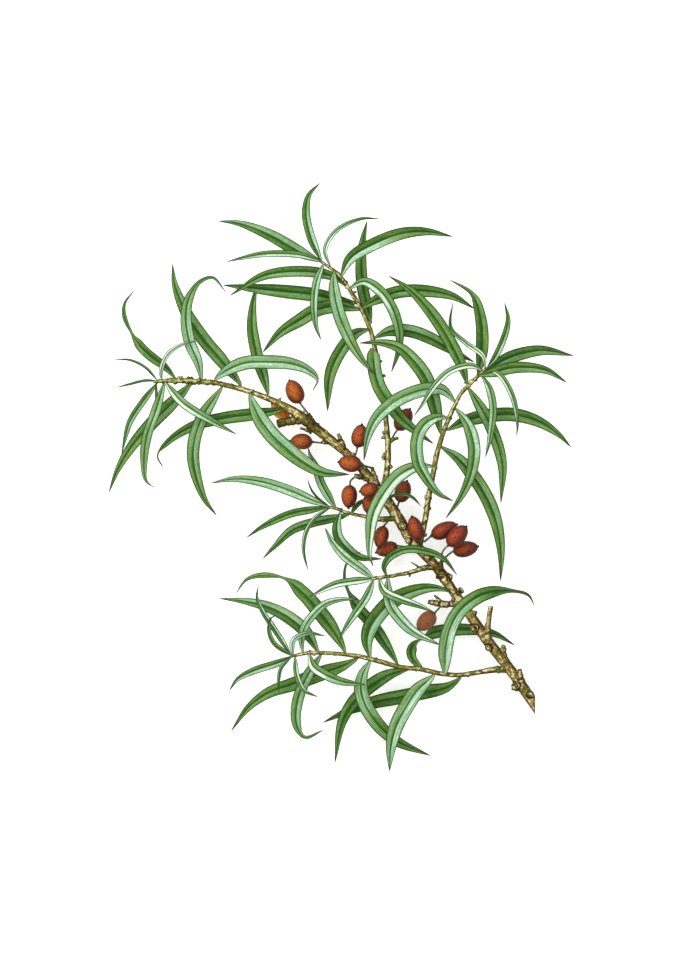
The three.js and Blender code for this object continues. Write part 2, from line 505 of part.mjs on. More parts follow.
function geometryOf(manifold) {
  const mesh = manifold.getMesh();
  const positions = new Float32Array(mesh.vertProperties);
  const geometry = new THREE.BufferGeometry();
  geometry.setAttribute('position', new THREE.BufferAttribute(positions, 3));
  geometry.setIndex(Array.from(mesh.triVerts));
  return geometry;
}

function joined(geometries) {
  return geometryOf(geometries.map(solid).reduce((whole, next) => whole.add(next)));
}

// The oblique cut through the butt of the main stem: all beyond a wall square to X is taken off.
function cutter() {
  const reach = 40;
  const wall = new THREE.BoxGeometry(reach, reach, reach);
  const { x, y } = place(CUT_PLACE);
  wall.translate(x + reach / 2, y, 0);
  return wall;
}

// An egg-shaped berry: a turned outline laid along the line from the stalk's end to the calyx.
function berryGeometry({ width, calyx, end, stalk }, against) {
  const foot = place(end);
  const top = place(calyx);
  const length = foot.distanceTo(top);
  const outline = [];
  for (let i = 0; i <= BERRY_ARCS; i += 1) {
    const angle = (Math.PI * i) / BERRY_ARCS;
    const radius = i === 0 || i === BERRY_ARCS ? 0 : (width / 2) * Math.sin(angle);
    outline.push(new THREE.Vector2(radius, (length / 2) * (1 - Math.cos(angle))));
  }
  const body = new THREE.LatheGeometry(outline, BERRY_SIDES);
  const turn = new THREE.Quaternion().setFromUnitVectors(
    new THREE.Vector3(0, 1, 0), top.clone().sub(foot).normalize());
  body.applyQuaternion(turn);
  body.translate(foot.x, foot.y, foot.z);
  // The stalk is drawn from the stem back to the berry, so that its start can be kept clear.
  const sunk = 0.15; // the share of the berry that the stalk's end is sunk in
  const inside = foot.clone().lerp(top, sunk);
  const way = [...stalk.map(place).reverse(), foot, inside];
  const line = new THREE.CatmullRomCurve3(way, false, 'centripetal');
  const from = clearStart(line, BASE_HALF, against);
  const rings = [];
  const steps = 3;
  for (let i = 0; i <= steps; i += 1) {
    rings.push(ringAt(line, from + (1 - from) * (i / steps), STALK_RADIUS, STALK_SIDES));
  }
  return joined([body, skin(rings)]);
}

// ---- The sprig ----
const materials = {
  bark: { color: BARK_COLOUR, roughness: 0.85, metalness: 0 },
  twig: { color: TWIG_COLOUR, roughness: 0.75, metalness: 0 },
  leaf: { color: LEAF_COLOUR, roughness: 0.6, metalness: 0 },
  youngLeaf: { color: YOUNG_LEAF_COLOUR, roughness: 0.65, metalness: 0 },
  berry: { color: BERRY_COLOUR, roughness: 0.35, metalness: 0 },
};

const group = new THREE.Group();

function add(name, geometry, material) {
  const mesh = new THREE.Mesh(geometry, new THREE.MeshStandardMaterial(materials[material]));
  mesh.name = name;
  group.add(mesh);
}

const mainLine = middleLine(stems.main_stem.stations);
const stemLines = Object.values(stems).map(({ stations }) => middleLine(stations));
const spurLines = Object.values(spurs).flat().map(middleLine);

for (const [name, { slot, stations }] of Object.entries(stems)) {
  const isMain = name === 'main_stem';
  const foot = stations[0][3] + SHOOT_SLACK;
  const start = isMain ? 0 : clearStart(curveThrough(stations), foot, [mainLine]);
  const tube = stemGeometry(stations, isMain ? MAIN_SIDES : SHOOT_SIDES, start);
  const growths = (spurs[name] ?? []).map((spur) => stemGeometry(spur, SPUR_SIDES));
  let body = joined([tube, ...growths]);
  if (isMain) body = geometryOf(solid(body).subtract(solid(cutter())));
  add(name, body, slot);
}

for (const [name, { twig, leaves }] of Object.entries(tipTufts)) {
  const opened = leaves.map((one) => leafGeometry(one));
  add(name, joined([stemGeometry(twig, SPUR_SIDES), ...opened]), 'youngLeaf');
}

for (const [name, one] of Object.entries(singleLeaves)) {
  const start = clearStart(curveThrough(one.path), BASE_HALF, stemLines);
  add(name, leafGeometry(one, start), 'leaf');
}

berries.forEach((one, index) => {
  const name = `berry_${String(index + 1).padStart(2, '0')}`;
  add(name, berryGeometry(one, [...stemLines, ...spurLines]), 'berry');
});

export default group;
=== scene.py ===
# %% [markdown]
# # A sprig of sea buckthorn
# The real thing is the end of a branch, cut from the bush and laid down on a table. It has a
# knobbly woody stem, five thinner side shoots, a tuft of young leaves at the tip of each, long
# narrow leaves lower down, and seventeen berries on short stalks close to the stem.
# It could be modelled as one mesh, but then every leaf would have to share one finish. Here each
# leaf, berry and shoot is a piece of its own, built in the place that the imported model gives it.

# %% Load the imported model
import bisect
import math
import random

import bmesh
import bpy
from mathutils import Matrix, Vector, kdtree, noise

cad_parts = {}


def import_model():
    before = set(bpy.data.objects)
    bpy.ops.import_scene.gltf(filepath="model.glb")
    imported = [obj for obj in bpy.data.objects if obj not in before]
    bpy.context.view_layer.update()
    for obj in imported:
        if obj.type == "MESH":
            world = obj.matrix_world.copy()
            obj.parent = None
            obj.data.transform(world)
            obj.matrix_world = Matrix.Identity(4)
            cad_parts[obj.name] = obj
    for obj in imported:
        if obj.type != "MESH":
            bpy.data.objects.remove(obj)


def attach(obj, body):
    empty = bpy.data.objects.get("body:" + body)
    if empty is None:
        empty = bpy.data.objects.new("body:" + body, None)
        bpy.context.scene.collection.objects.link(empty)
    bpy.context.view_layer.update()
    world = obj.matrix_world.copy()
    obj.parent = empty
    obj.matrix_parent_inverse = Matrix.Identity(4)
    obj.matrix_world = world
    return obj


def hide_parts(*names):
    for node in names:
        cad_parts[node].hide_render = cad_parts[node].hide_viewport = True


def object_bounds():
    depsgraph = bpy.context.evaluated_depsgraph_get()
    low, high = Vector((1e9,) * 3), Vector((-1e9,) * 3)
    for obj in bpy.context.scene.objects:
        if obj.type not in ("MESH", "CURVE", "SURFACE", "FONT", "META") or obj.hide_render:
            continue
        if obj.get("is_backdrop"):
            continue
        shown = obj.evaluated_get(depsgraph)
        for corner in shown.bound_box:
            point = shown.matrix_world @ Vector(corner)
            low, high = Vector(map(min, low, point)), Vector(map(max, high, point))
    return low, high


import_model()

scene = bpy.context.scene
cad_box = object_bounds()
print("box of the packed model:", [round(high - low, 4) for low, high in zip(*cad_box)])

# %% [markdown]
# ## The plan that everything is laid out on
# The sprig lies flat, so it is easiest to set out as on squared paper seen from above. A station
# is a point on that plan: squares to the right, squares down, and its height off the table in
# millimetres. One square is 0.4 mm, and the plan's middle is over the scene's origin.

# %% Turn a station into a place
MM = 0.001
PLAN_SQUARE = 0.4 * MM
PLAN_MIDDLE_U = 341
PLAN_MIDDLE_V = 477
PLAN_SIDES = (681, 953)


def place(u, v, height):
    """A place in metres: u squares to the right, v squares down, height in mm."""
    x = (u - PLAN_MIDDLE_U) * PLAN_SQUARE
    y = (PLAN_MIDDLE_V - v) * PLAN_SQUARE
    return Vector((x, y, height * MM))


print("the plan is", [round(side * PLAN_SQUARE, 3) for side in PLAN_SIDES], "m")

# %% [markdown]
# ## Camera, floor and light
# The sprig is seen from straight above, as on a copy stand. A perspective camera would swell the
# leaves that stand nearer to it, so the camera is orthographic and takes in the whole plan.
# A white sky all round gives the soft light of a studio tent, and one broad window of light from
# the upper left shows which way each leaf curls.

# %% The camera
CAMERA_HEIGHT = 600

camera_data = bpy.data.cameras.new("copy_stand")
camera_data.type = "ORTHO"
camera_data.ortho_scale = max(PLAN_SIDES) * PLAN_SQUARE
camera = bpy.data.objects.new("copy_stand", camera_data)
camera.location = place(PLAN_SIDES[0] / 2, PLAN_SIDES[1] / 2, CAMERA_HEIGHT)
scene.collection.objects.link(camera)
scene.camera = camera
print("camera sees", round(camera_data.ortho_scale, 4), "m from top to bottom")

# %% The light
TENT_STRENGTH = 1.12
WINDOW_PLACE = Vector((-0.55, 0.6, 1.1))
WINDOW_WIDTH = 0.9
WINDOW_WATTS = 9.0

scene.world = bpy.data.worlds.new("studio_tent")
scene.world.use_nodes = True
tent = scene.world.node_tree.nodes["Background"]
tent.inputs["Color"].default_value = (1.0, 1.0, 1.0, 1.0)
tent.inputs["Strength"].default_value = TENT_STRENGTH

window_data = bpy.data.lights.new("window", "AREA")
window_data.shape = "DISK"
window_data.size = WINDOW_WIDTH
window_data.energy = WINDOW_WATTS
window = bpy.data.objects.new("window", window_data)
window.location = WINDOW_PLACE
window.rotation_mode = "QUATERNION"
window.rotation_quaternion = (-WINDOW_PLACE).to_track_quat("-Z", "Y")
window.visible_camera = False
scene.collection.objects.link(window)

scene.view_settings.view_transform = "Standard"
scene.view_settings.look = "None"
print("the window is", round(WINDOW_PLACE.length, 2), "m from the sprig")

# %% [markdown]
# ## Writing a finish as sums
# A finish in Blender is a net of nodes. Dragged together by hand it is hard to read, so here a
# small class, Wire, wraps one output socket: adding or multiplying two wires adds the Math node
# that does it. Every other kind of node comes from one method, which takes the node's type, its
# settings and what goes into its sockets.


# %% A wire that can be used in sums
class Wire:
    """One output socket of a node. Sums on wires become Math nodes."""

    def __init__(self, finish, socket):
        self.finish = finish
        self.socket = socket

    def sum(self, operation, *values):
        return self.finish.node("ShaderNodeMath", {"operation": operation}, dict(enumerate(values)))

    def __add__(self, other):
        return self.sum("ADD", self, other)

    __radd__ = __add__

    def __sub__(self, other):
        return self.sum("SUBTRACT", self, other)

    def __rsub__(self, other):
        return self.sum("SUBTRACT", other, self)

    def __mul__(self, other):
        return self.sum("MULTIPLY", self, other)

    __rmul__ = __mul__

    def __abs__(self):
        return self.sum("ABSOLUTE", self)

    def rise(self, low, high):
        """0 below low and 1 above high, with a soft step between."""
        step = {0: self, 1: low, 2: high, 3: 0.0, 4: 1.0}
        return self.finish.node("ShaderNodeMapRange", {"interpolation_type": "SMOOTHSTEP"}, step)


# %% A finish and the nodes that make it
class Finish:
    """A material that is built up node by node."""

    def __init__(self, name, **constants):
        self.material = bpy.data.materials.new(name)
        self.material.use_nodes = True
        self.tree = self.material.node_tree
        self.feed_shader(constants)

    def feed(self, socket, value):
        if isinstance(value, Wire):
            self.tree.links.new(value.socket, socket)
        else:
            socket.default_value = value

    def feed_shader(self, sockets):
        shader = self.tree.nodes["Principled BSDF"]
        for name, value in sockets.items():
            self.feed(shader.inputs[name.replace("_", " ")], value)

    def node(self, kind, settings=None, sockets=None, output=0):
        made = self.tree.nodes.new(kind)
        for name, value in (settings or {}).items():
            if name == "stops":
                self.set_stops(made.color_ramp, value)
            else:
                setattr(made, name, value)
        for key, value in (sockets or {}).items():
            self.feed(made.inputs[key], value)
        return Wire(self, made.outputs[output])

    def set_stops(self, ramp, stops):
        while len(ramp.elements) < len(stops):
            ramp.elements.new(1.0)
        for element, (position, colour) in zip(ramp.elements, stops):
            element.position = position
            element.color = colour

    def attribute(self, name, output=1):
        """What the mesh has stored for each point: output 1 is the vector, 3 the alpha."""
        return self.node("ShaderNodeAttribute", {"attribute_name": name}, output=output)

    def parts(self, vector):
        """The three parts of a vector, each as a wire."""
        return [self.node("ShaderNodeSeparateXYZ", {}, {0: vector}, output=i) for i in range(3)]

    def vector(self, *parts):
        return self.node("ShaderNodeCombineXYZ", {}, dict(enumerate(parts)))

    def cloud(self, vector, scale=1.0, detail=2.0):
        """Soft noise from 0 to 1, mostly near a half."""
        sockets = {"Vector": vector, "Scale": scale, "Detail": detail}
        return self.node("ShaderNodeTexNoise", {}, sockets)

    def dots(self, vector, scale, size, edge):
        """1 on small scattered dots, which fade out between size and edge, and 0 between them."""
        cells = self.node("ShaderNodeTexVoronoi", {}, {"Vector": vector, "Scale": scale})
        return 1 - cells.rise(size, edge)

    def mix(self, share, low, high):
        """The colour low where share is 0 and high where it is 1."""
        return self.node("ShaderNodeMix", {"data_type": "RGBA"}, {0: share, 6: low, 7: high}, output=2)

    def coats(self, colour, *coats):
        """A colour with coats over it, each given as how much it covers and its own colour."""
        for share, coat in coats:
            colour = self.mix(share, colour, coat)
        return colour

    def millimetres(self):
        """The place on the piece, in millimetres."""
        here = self.node("ShaderNodeTexCoord", output=3)
        return self.node("ShaderNodeVectorMath", {"operation": "SCALE"}, {0: here, "Scale": 1 / MM})

    def relief(self, height, depth):
        """Dents and bumps of up to depth metres."""
        return self.node("ShaderNodeBump", {}, {"Height": height, "Distance": depth, "Strength": 1.0})

    def paint(self, **sockets):
        """What changes over the surface goes into the shader's own sockets."""
        self.feed_shader(sockets)
        print(self.material.name, "is made of", len(self.tree.nodes), "nodes")
        return self.material


# %% Colours as a paint chart gives them
def tint(red, green, blue):
    """A colour from 0 to 1 as a screen shows it, turned into amounts of light."""
    light = [c / 12.92 if c < 0.04 else ((c + 0.055) / 1.055) ** 2.4 for c in (red, green, blue)]
    return (*light, 1.0)


print("a middle leaf green reflects", [round(c, 3) for c in tint(0.37, 0.52, 0.25)[:3]])

# %% [markdown]
# Stems and berries have painted shade on the side turned away from the window and a painted
# highlight on the side turned to it. A skin point that faces this way gets the most painted light.

# %% Where the painted light comes from
PAINTED_LIGHT_FROM = Vector((-0.28, 0.13, 0.95)).normalized()


def painted_light_on(normal):
    """From 0 on the side turned away from the painted light to 1 where it faces it straight on."""
    return max(normal.dot(PAINTED_LIGHT_FROM), 0.0)


# %% Put a mesh in the scene
def lay_out(name, bm):
    """Turns a bmesh into an object that stands at the origin."""
    mesh = bpy.data.meshes.new(name)
    bm.to_mesh(mesh)
    bm.free()
    made = bpy.data.objects.new(name, mesh)
    scene.collection.objects.link(made)
    return made


# %% [markdown]
# ## The floor
# A sheet of plain white board on a light table turned down low. The little light that comes
# through it thins the shadows under the sprig to a breath, so that the outlines stay clear.

# %% Lay the board
BOARD_GLOW = 0.32
BOARD_SIDE = 3.0
BOARD_DROP = 0.2 * MM

finish = Finish(
    "white_board", Roughness=0.9, Specular_IOR_Level=0.1,
    Emission_Color=tint(1, 1, 1), Emission_Strength=BOARD_GLOW,
)
paper_fibres = finish.cloud(finish.millimetres(), scale=0.6, detail=4.0)
white_board = finish.paint(
    Base_Color=finish.mix(paper_fibres, tint(0.965, 0.965, 0.96), tint(0.985, 0.985, 0.98))
)
bm = bmesh.new()
bmesh.ops.create_grid(bm, x_segments=1, y_segments=1, size=BOARD_SIDE / 2)
bmesh.ops.translate(bm, verts=bm.verts, vec=(0, 0, -BOARD_DROP))
board = lay_out("board", bm)
board.data.materials.append(white_board)
board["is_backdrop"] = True

# %% [markdown]
# ## A middle line
# Leaves, shoots and stalks are all long things that curve, so each is built round a smooth line
# through its stations. Blender has curve objects for this, but a line that can be walked in code
# gives the place and the direction at any share of its length, which a leaf needs at every row.

# %% How the line bends between two stations
STEPS_BETWEEN_STATIONS = 24


def bend(before, start, end, after, share):
    """A point between start and end on the curve that also minds its two neighbours."""
    gap_before = (start - before).length ** 0.5
    gap = (end - start).length ** 0.5
    gap_after = (after - end).length ** 0.5
    way_out = (start - before) / gap_before - (end - before) / (gap_before + gap)
    way_in = (after - end) / gap_after - (after - start) / (gap + gap_after)
    way_out = end - start + way_out * gap
    way_in = end - start + way_in * gap
    curve = 2 * (start - end) + way_out + way_in
    lift = 3 * (end - start) - 2 * way_out - way_in
    return start + way_out * share + lift * share**2 + curve * share**3


# %% The line itself
class MiddleLine:
    """A smooth line through stations, walked by its length like a thread.

    A fourth number of a station is the radius in mm of the tube that runs along the line. The
    tube can be ringed, as a spur is.
    """

    def __init__(self, stations, ringed=False):
        self.ringed = ringed
        self.radii = [radius * MM for station in stations for radius in station[3:]]
        knots = [place(*station[:3]) for station in stations]
        knots = [2 * knots[0] - knots[1], *knots, 2 * knots[-1] - knots[-2]]
        self.points = []
        for before, start, end, after in zip(knots, knots[1:], knots[2:], knots[3:]):
            for i in range(STEPS_BETWEEN_STATIONS):
                self.points.append(bend(before, start, end, after, i / STEPS_BETWEEN_STATIONS))
        self.points.append(knots[-2])
        self.walked = [0.0]
        for here, there in zip(self.points, self.points[1:]):
            self.walked.append(self.walked[-1] + (there - here).length)
        self.length = self.walked[-1]
        at_stations = self.walked[::STEPS_BETWEEN_STATIONS]
        self.station_shares = [walked / self.length for walked in at_stations]

    def point(self, share):
        target = min(max(share, 0.0), 1.0) * self.length
        i = min(max(bisect.bisect_right(self.walked, target), 1), len(self.points) - 1)
        within = (target - self.walked[i - 1]) / (self.walked[i] - self.walked[i - 1])
        return self.points[i - 1].lerp(self.points[i], within)

    def direction(self, share):
        nearby = 0.01
        return (self.point(share + nearby) - self.point(share - nearby)).normalized()

    def radius(self, share):
        i = min(max(bisect.bisect_right(self.station_shares, share), 1), len(self.radii) - 1)
        low, high = self.station_shares[i - 1], self.station_shares[i]
        within = min(max((share - low) / (high - low), 0.0), 1.0)
        return self.radii[i - 1] + (self.radii[i] - self.radii[i - 1]) * within


def across(direction, roll=0.0):
    """Two directions square to a line: one to its right, and one upwards."""
    side = direction.cross(Vector((0, 0, 1))).normalized()
    up = side.cross(direction).normalized()
    turn = Matrix.Rotation(roll, 3, direction)
    return turn @ side, turn @ up


trial = MiddleLine([(300, 400, 10), (330, 380, 14), (380, 390, 12)])
print("a trial line is", round(trial.length / MM, 1), "mm long")


# %% Make a piece from a bmesh
def sort_faces(bm):
    """Sorts the faces by their corners. Blender lists new faces in another order every run."""
    bm.verts.index_update()
    corners = {face: sorted(vert.index for vert in face.verts) for face in bm.faces}
    ranks = {face: rank for rank, face in enumerate(sorted(corners, key=corners.get))}
    bm.faces.sort(key=ranks.get)


def make_piece(name, bm, materials, node):
    """A finished piece: its object at the origin, its place in its mesh."""
    for face in bm.faces:
        face.smooth = True
    sort_faces(bm)
    piece = lay_out(name, bm)
    for material in materials:
        piece.data.materials.append(material)
    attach(piece, "root")
    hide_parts(node)
    return piece


def record(piece, name, vectors):
    """Stores one vector for each point of the piece."""
    data = piece.data.attributes.new(name, "FLOAT_VECTOR", "POINT").data
    data.foreach_set("vector", [part for vector in vectors for part in vector])


# %% [markdown]
# ## What a leaf looks like
# A sea buckthorn leaf is a narrow strap with a sunken midrib. The upper side is deep green,
# dusted with silvery scales, and the light on the two halves of the folded leaf is painted into
# it: one half may carry a pale blue-green painted highlight, the other a darker painted shade. The
# dark line of the midrib is painted shade in its groove. The underside is silver with scattered
# rusty scales.
# One upper finish serves every leaf. It reads two things from the mesh: the UV map Blade, which
# says how far across and how far along the leaf a point is, and the attribute tone, which holds
# how pale the left half and the right half are there, silver and painted light together, a seed
# for that leaf, and how many fine lines would fit on one half. Midrib and margin are each about
# one such line wide, so they stay fine on a broad leaf and don't swamp a slim one.

# %% The greens of the upper side, from deep green to silvery, which also carry each half's painted light and shade
UPPER_GREENS = [
    (0.0, tint(0.16, 0.32, 0.07)),
    (0.2, tint(0.26, 0.43, 0.13)),
    (0.42, tint(0.37, 0.52, 0.25)),
    (0.6, tint(0.43, 0.58, 0.35)),
    (0.78, tint(0.50, 0.66, 0.48)),
    (0.9, tint(0.61, 0.75, 0.62)),
    (1.0, tint(0.76, 0.86, 0.78)),
]
# The painted shade in the midrib's groove.
RIB_SHADE_GREEN = tint(0.08, 0.28, 0.05)
MARGIN_GREEN = tint(0.10, 0.21, 0.07)
STROKE_GREEN = tint(0.20, 0.34, 0.12)
PAINTED_GLINT_GREEN = tint(0.68, 0.80, 0.68)
BLUE_GREEN = tint(0.45, 0.66, 0.55)
CREAM_HIGHLIGHT = tint(0.93, 0.96, 0.84)
OLIVE = tint(0.50, 0.56, 0.20)
TIP_BROWN = tint(0.22, 0.15, 0.14)


# %% The upper side
def upper_side():
    finish = Finish("leaf_upper_side", Specular_IOR_Level=0.2)
    over, along, _ = finish.parts(finish.node("ShaderNodeUVMap", {"uv_map": "Blade"}))
    left, right, seed = finish.parts(finish.attribute("tone"))
    lines = finish.attribute("tone", output=3)

    from_rib = over * 2 - 1
    away = abs(from_rib)
    on_right = from_rib.rise(-0.05, 0.05)
    strokes = finish.cloud(finish.vector(over * 17 + seed * 31, along * 4, seed * 17), detail=3.0)
    hairlines = finish.cloud(finish.vector(over * 46, along * 9, seed * 23), detail=2.0)
    patches = finish.cloud(finish.vector(over * 2, along * 7, seed * 41), detail=2.0)
    stipple = finish.cloud(finish.millimetres(), scale=1.15, detail=3.0).rise(0.36, 0.64)

    # How pale each half is: its silver scales and its painted highlight or shade together.
    silver_and_painted_light = left * (1 - on_right) + right * on_right
    right_darker = (left - right).rise(-0.05, 0.05)
    shaded = on_right * right_darker + (1 - on_right) * (1 - right_darker)
    beside_rib = 1 - away.rise(0.0, 0.7)
    crest = away.rise(0.15, 0.5) * (1 - away.rise(0.5, 0.95))
    by_margin = away.rise(0.55, 0.97)
    pale = silver_and_painted_light + (strokes - 0.5) * 0.5 + (hairlines - 0.5) * 0.4 + (patches - 0.5) * 0.4
    # Painted shade beside the midrib on the shaded half, a painted highlight beside it on the lit half and
    # on the crest of each half, and painted shade towards the margin.
    pale = pale + (stipple - 0.5) * 0.15 - beside_rib * shaded * 0.26
    pale = pale + (0.42 - away) * (1 - shaded) * 0.16 + crest * 0.06 - by_margin * 0.14

    warm = finish.cloud(finish.vector(over * 3, along * 4, seed * 67)).rise(0.48, 0.72)
    cool = finish.cloud(finish.vector(over * 2, along * 3, seed * 91)).rise(0.45, 0.65)
    # A painted glint in silver green beside the midrib, on the paler halves.
    painted_glint = away.rise(0.12, 0.2) * (1 - away.rise(0.2, 0.4)) * (1 - along.rise(0.7, 0.9))
    # A cream painted highlight down the middle of the palest halves.
    cream_highlight = away.rise(0.2, 0.38) * (1 - away.rise(0.5, 0.8)) * silver_and_painted_light.rise(0.86, 1.02)
    rib = (1 - (away * lines).rise(0.15, 0.85)) * (1 - along.rise(0.85, 1.0))
    edge = (1 - ((1 - away) * lines).rise(0.35, 1.05)) * (patches + 0.45).rise(0.3, 0.9)
    colour = finish.coats(
        finish.node("ShaderNodeValToRGB", {"stops": UPPER_GREENS}, {0: pale}),
        (cool * pale.rise(0.35, 0.75) * 0.45, BLUE_GREEN),
        (warm * 0.28 + (1 - along.rise(0.0, 0.07)) * 0.5, OLIVE),
        (painted_glint * pale.rise(0.3, 0.9) * 0.5, PAINTED_GLINT_GREEN),
        ((1 - strokes.rise(0.30, 0.44)) * 0.3, STROKE_GREEN),
        # Cream streaks of painted highlight on the paler halves.
        (strokes.rise(0.55, 0.70) * silver_and_painted_light.rise(0.3, 0.9) * 0.4, CREAM_HIGHLIGHT),
        (cream_highlight * (0.45 + strokes * 0.6), CREAM_HIGHLIGHT),
        # The dark midrib line is painted shade in its sunken groove.
        (rib * (along.rise(0.02, 0.12) * 0.88), RIB_SHADE_GREEN),
        (edge * 0.95, MARGIN_GREEN),
        (along.rise(0.90, 0.985) * 0.9, TIP_BROWN),
    )
    height = strokes * 0.6 + hairlines * 0.3 - rib * 0.8
    gloss = 0.6 - (strokes - 0.5) * 0.3 + by_margin * 0.1
    return finish.paint(Base_Color=colour, Roughness=gloss, Normal=finish.relief(height, 0.06 * MM))


leaf_upper = upper_side()

# %% The underside
SILVER_DARK = tint(0.43, 0.54, 0.40)
SILVER_LIGHT = tint(0.70, 0.77, 0.68)
RUST = tint(0.55, 0.33, 0.16)
RIB_BUFF = tint(0.66, 0.60, 0.38)


def underside():
    finish = Finish("leaf_underside", Specular_IOR_Level=0.35)
    over, along, _ = finish.parts(finish.node("ShaderNodeUVMap", {"uv_map": "Blade"}))
    here = finish.millimetres()
    away = abs(over * 2 - 1)
    felt = finish.cloud(here, scale=6.0, detail=3.0)
    strokes = finish.cloud(finish.vector(over * 14, along * 5, 0.0), detail=3.0)
    pale = (felt + strokes).rise(0.6, 1.35) - away.rise(0.8, 1.0) * 0.3
    scales = finish.dots(here, 1.6, size=0.10, edge=0.20)
    rib = 1 - away.rise(0.06, 0.18)
    colour = finish.coats(
        finish.mix(pale, SILVER_DARK, SILVER_LIGHT),
        (scales * 0.55, RUST),
        (rib * 0.7, RIB_BUFF),
        (away.rise(0.80, 0.94) * 0.85, MARGIN_GREEN),
        (along.rise(0.9, 1.0) * 0.6, TIP_BROWN),
    )
    height = felt * 0.6 + rib + scales * 0.5
    return finish.paint(
        Base_Color=colour, Roughness=0.62 - felt * 0.2, Normal=finish.relief(height, 0.05 * MM)
    )


leaf_under = underside()

# %% [markdown]
# ## How a leaf is built
# A leaf could be a curve with a width, but it needs a fold along the midrib, halves that bulge,
# a margin that ripples and two sides with different finishes. So it starts as a flat grid, its
# rows are set out along the middle line, and Solidify gives the sheet its thickness. The grid
# brings its own UV map, and the sheet that Solidify adds below takes the underside's finish.

# %% The sizes of a leaf
FINE_LINE = 0.36  # the midrib and the margin of a leaf are about this many mm wide
LINE_SHARE = 0.07  # and wider by this share of half the leaf's width
LEAF_THICKNESS = 0.28 * MM
LEAF_FOLD = 0.25  # how far a margin stands above the midrib, as a share of half the width
LEAF_BULGE = 0.12  # how far the middle of each half swells up, in the same measure
LEAF_RIPPLE = 0.07  # how far the margin waves up and down, in the same measure
RIPPLES = 11  # how many radians of that wave fit along a leaf
LEAF_COLUMNS = 10
LEAF_ROW = 1.2 * MM
TONE_CHANGE = ((0.25, 0), (0.75, 1))  # over which shares of the length a leaf's tones change
FULL = 0.46  # the share of its length at which a leaf starts to narrow to its tip
SLIM = 0.3  # the same for a leaf with a long drawn-out tip
SHARP = math.radians(50)


def leaf_outline(share, full, foot, opening):
    """The width at a share of the length: a narrow foot, full in the middle, a long tip."""
    if share < opening:
        return foot + (1 - foot) * math.sin(math.pi / 2 * share / opening)
    if share < full:
        return 1.0
    blunt = 0.05
    taper = math.cos(math.pi / 2 * (share - full) / (1 - full)) ** 0.95
    return blunt + (1 - blunt) * taper


# %% A leaf as a list of choices
LIES_FLAT = ((0, 0), (1, 0))


def leaf(width, tones, *stations, full=FULL, turns=LIES_FLAT, foot=0.14, opening=0.28):
    """Width in mm, how pale each half is with its silver and painted light, where it runs, and how far it
    turns over on the way.

    A second pair of tones is for the half of the leaf near its tip. Turns are pairs of a share
    of the length and an angle in degrees. Foot is how wide it starts, as a share of its width,
    and it is at its widest from the share opening of its length to the share full.
    """
    shape = {"full": full, "foot": foot, "opening": opening}
    return {"width": width * MM, "tones": tones, "stations": stations, "turns": turns, "shape": shape}


def eased(share, steps):
    """A value that moves softly through pairs of a share of the length and the value there."""
    for (low, start), (high, end) in zip(steps, steps[1:]):
        if share < high:
            way = max((share - low) / (high - low), 0.0)
            return start + (end - start) * way * way * (3 - 2 * way)
    return steps[-1][1]


# %% Set a grid out along the middle line
def grow_leaf(bm, one, seed):
    """Adds one leaf to the bmesh, and returns its length."""
    line = MiddleLine(one["stations"])
    tone = bm.verts.layers.float_color["tone"]
    rows = round(line.length / LEAF_ROW)
    grid = bmesh.ops.create_grid(
        bm, x_segments=LEAF_COLUMNS, y_segments=rows, size=1, calc_uvs=True
    )
    near_foot, near_tip = one["tones"][:2], one["tones"][-2:]
    for vert in grid["verts"]:
        side_share, share = vert.co.x, (vert.co.y + 1) / 2
        side, up = across(line.direction(share), math.radians(eased(share, one["turns"])))
        half = one["width"] / 2 * leaf_outline(min(share, 1.0), **one["shape"])
        out = abs(side_share)
        ripple = math.sin(RIPPLES * share + 20 * seed + side_share) * out**2
        rise = LEAF_FOLD * out + LEAF_BULGE * math.sin(math.pi * out) + LEAF_RIPPLE * ripple
        middle = line.point(share) + up * LEAF_THICKNESS / 2
        vert.co = middle + side * (half * side_share) + up * (half * rise)
        way = eased(share, TONE_CHANGE)
        left, right = [low + (high - low) * way for low, high in zip(near_foot, near_tip)]
        lines = half / MM / (FINE_LINE + LINE_SHARE * half / MM)
        vert[tone] = (left, right, seed, lines)
    upper = {face for vert in grid["verts"] for face in vert.link_faces}
    for face in upper:
        face.material_index = 0
    below = bmesh.ops.solidify(bm, geom=list(upper), thickness=LEAF_THICKNESS)["geom"]
    points = [part for part in below if isinstance(part, bmesh.types.BMVert)]
    for face in {face for vert in points for face in vert.link_faces} - upper:
        face.material_index = 1
    return line.length


# %% Make one piece of one leaf or of many
def leaf_piece(name, leaves, node):
    bm = bmesh.new()
    bm.loops.layers.uv.new("Blade")
    bm.verts.layers.float_color.new("tone")
    chance = random.Random(name)
    lengths = [grow_leaf(bm, one, chance.random()) for one in leaves]
    bmesh.ops.remove_doubles(bm, verts=bm.verts, dist=0.004 * MM)
    bm.normal_update()
    for edge in bm.edges:
        edge.smooth = len(edge.link_faces) != 2 or edge.calc_face_angle() < SHARP
    make_piece(name, bm, [leaf_upper, leaf_under], node)
    print(name, "has", len(leaves), "leaves, the longest", round(max(lengths) / MM, 1), "mm")


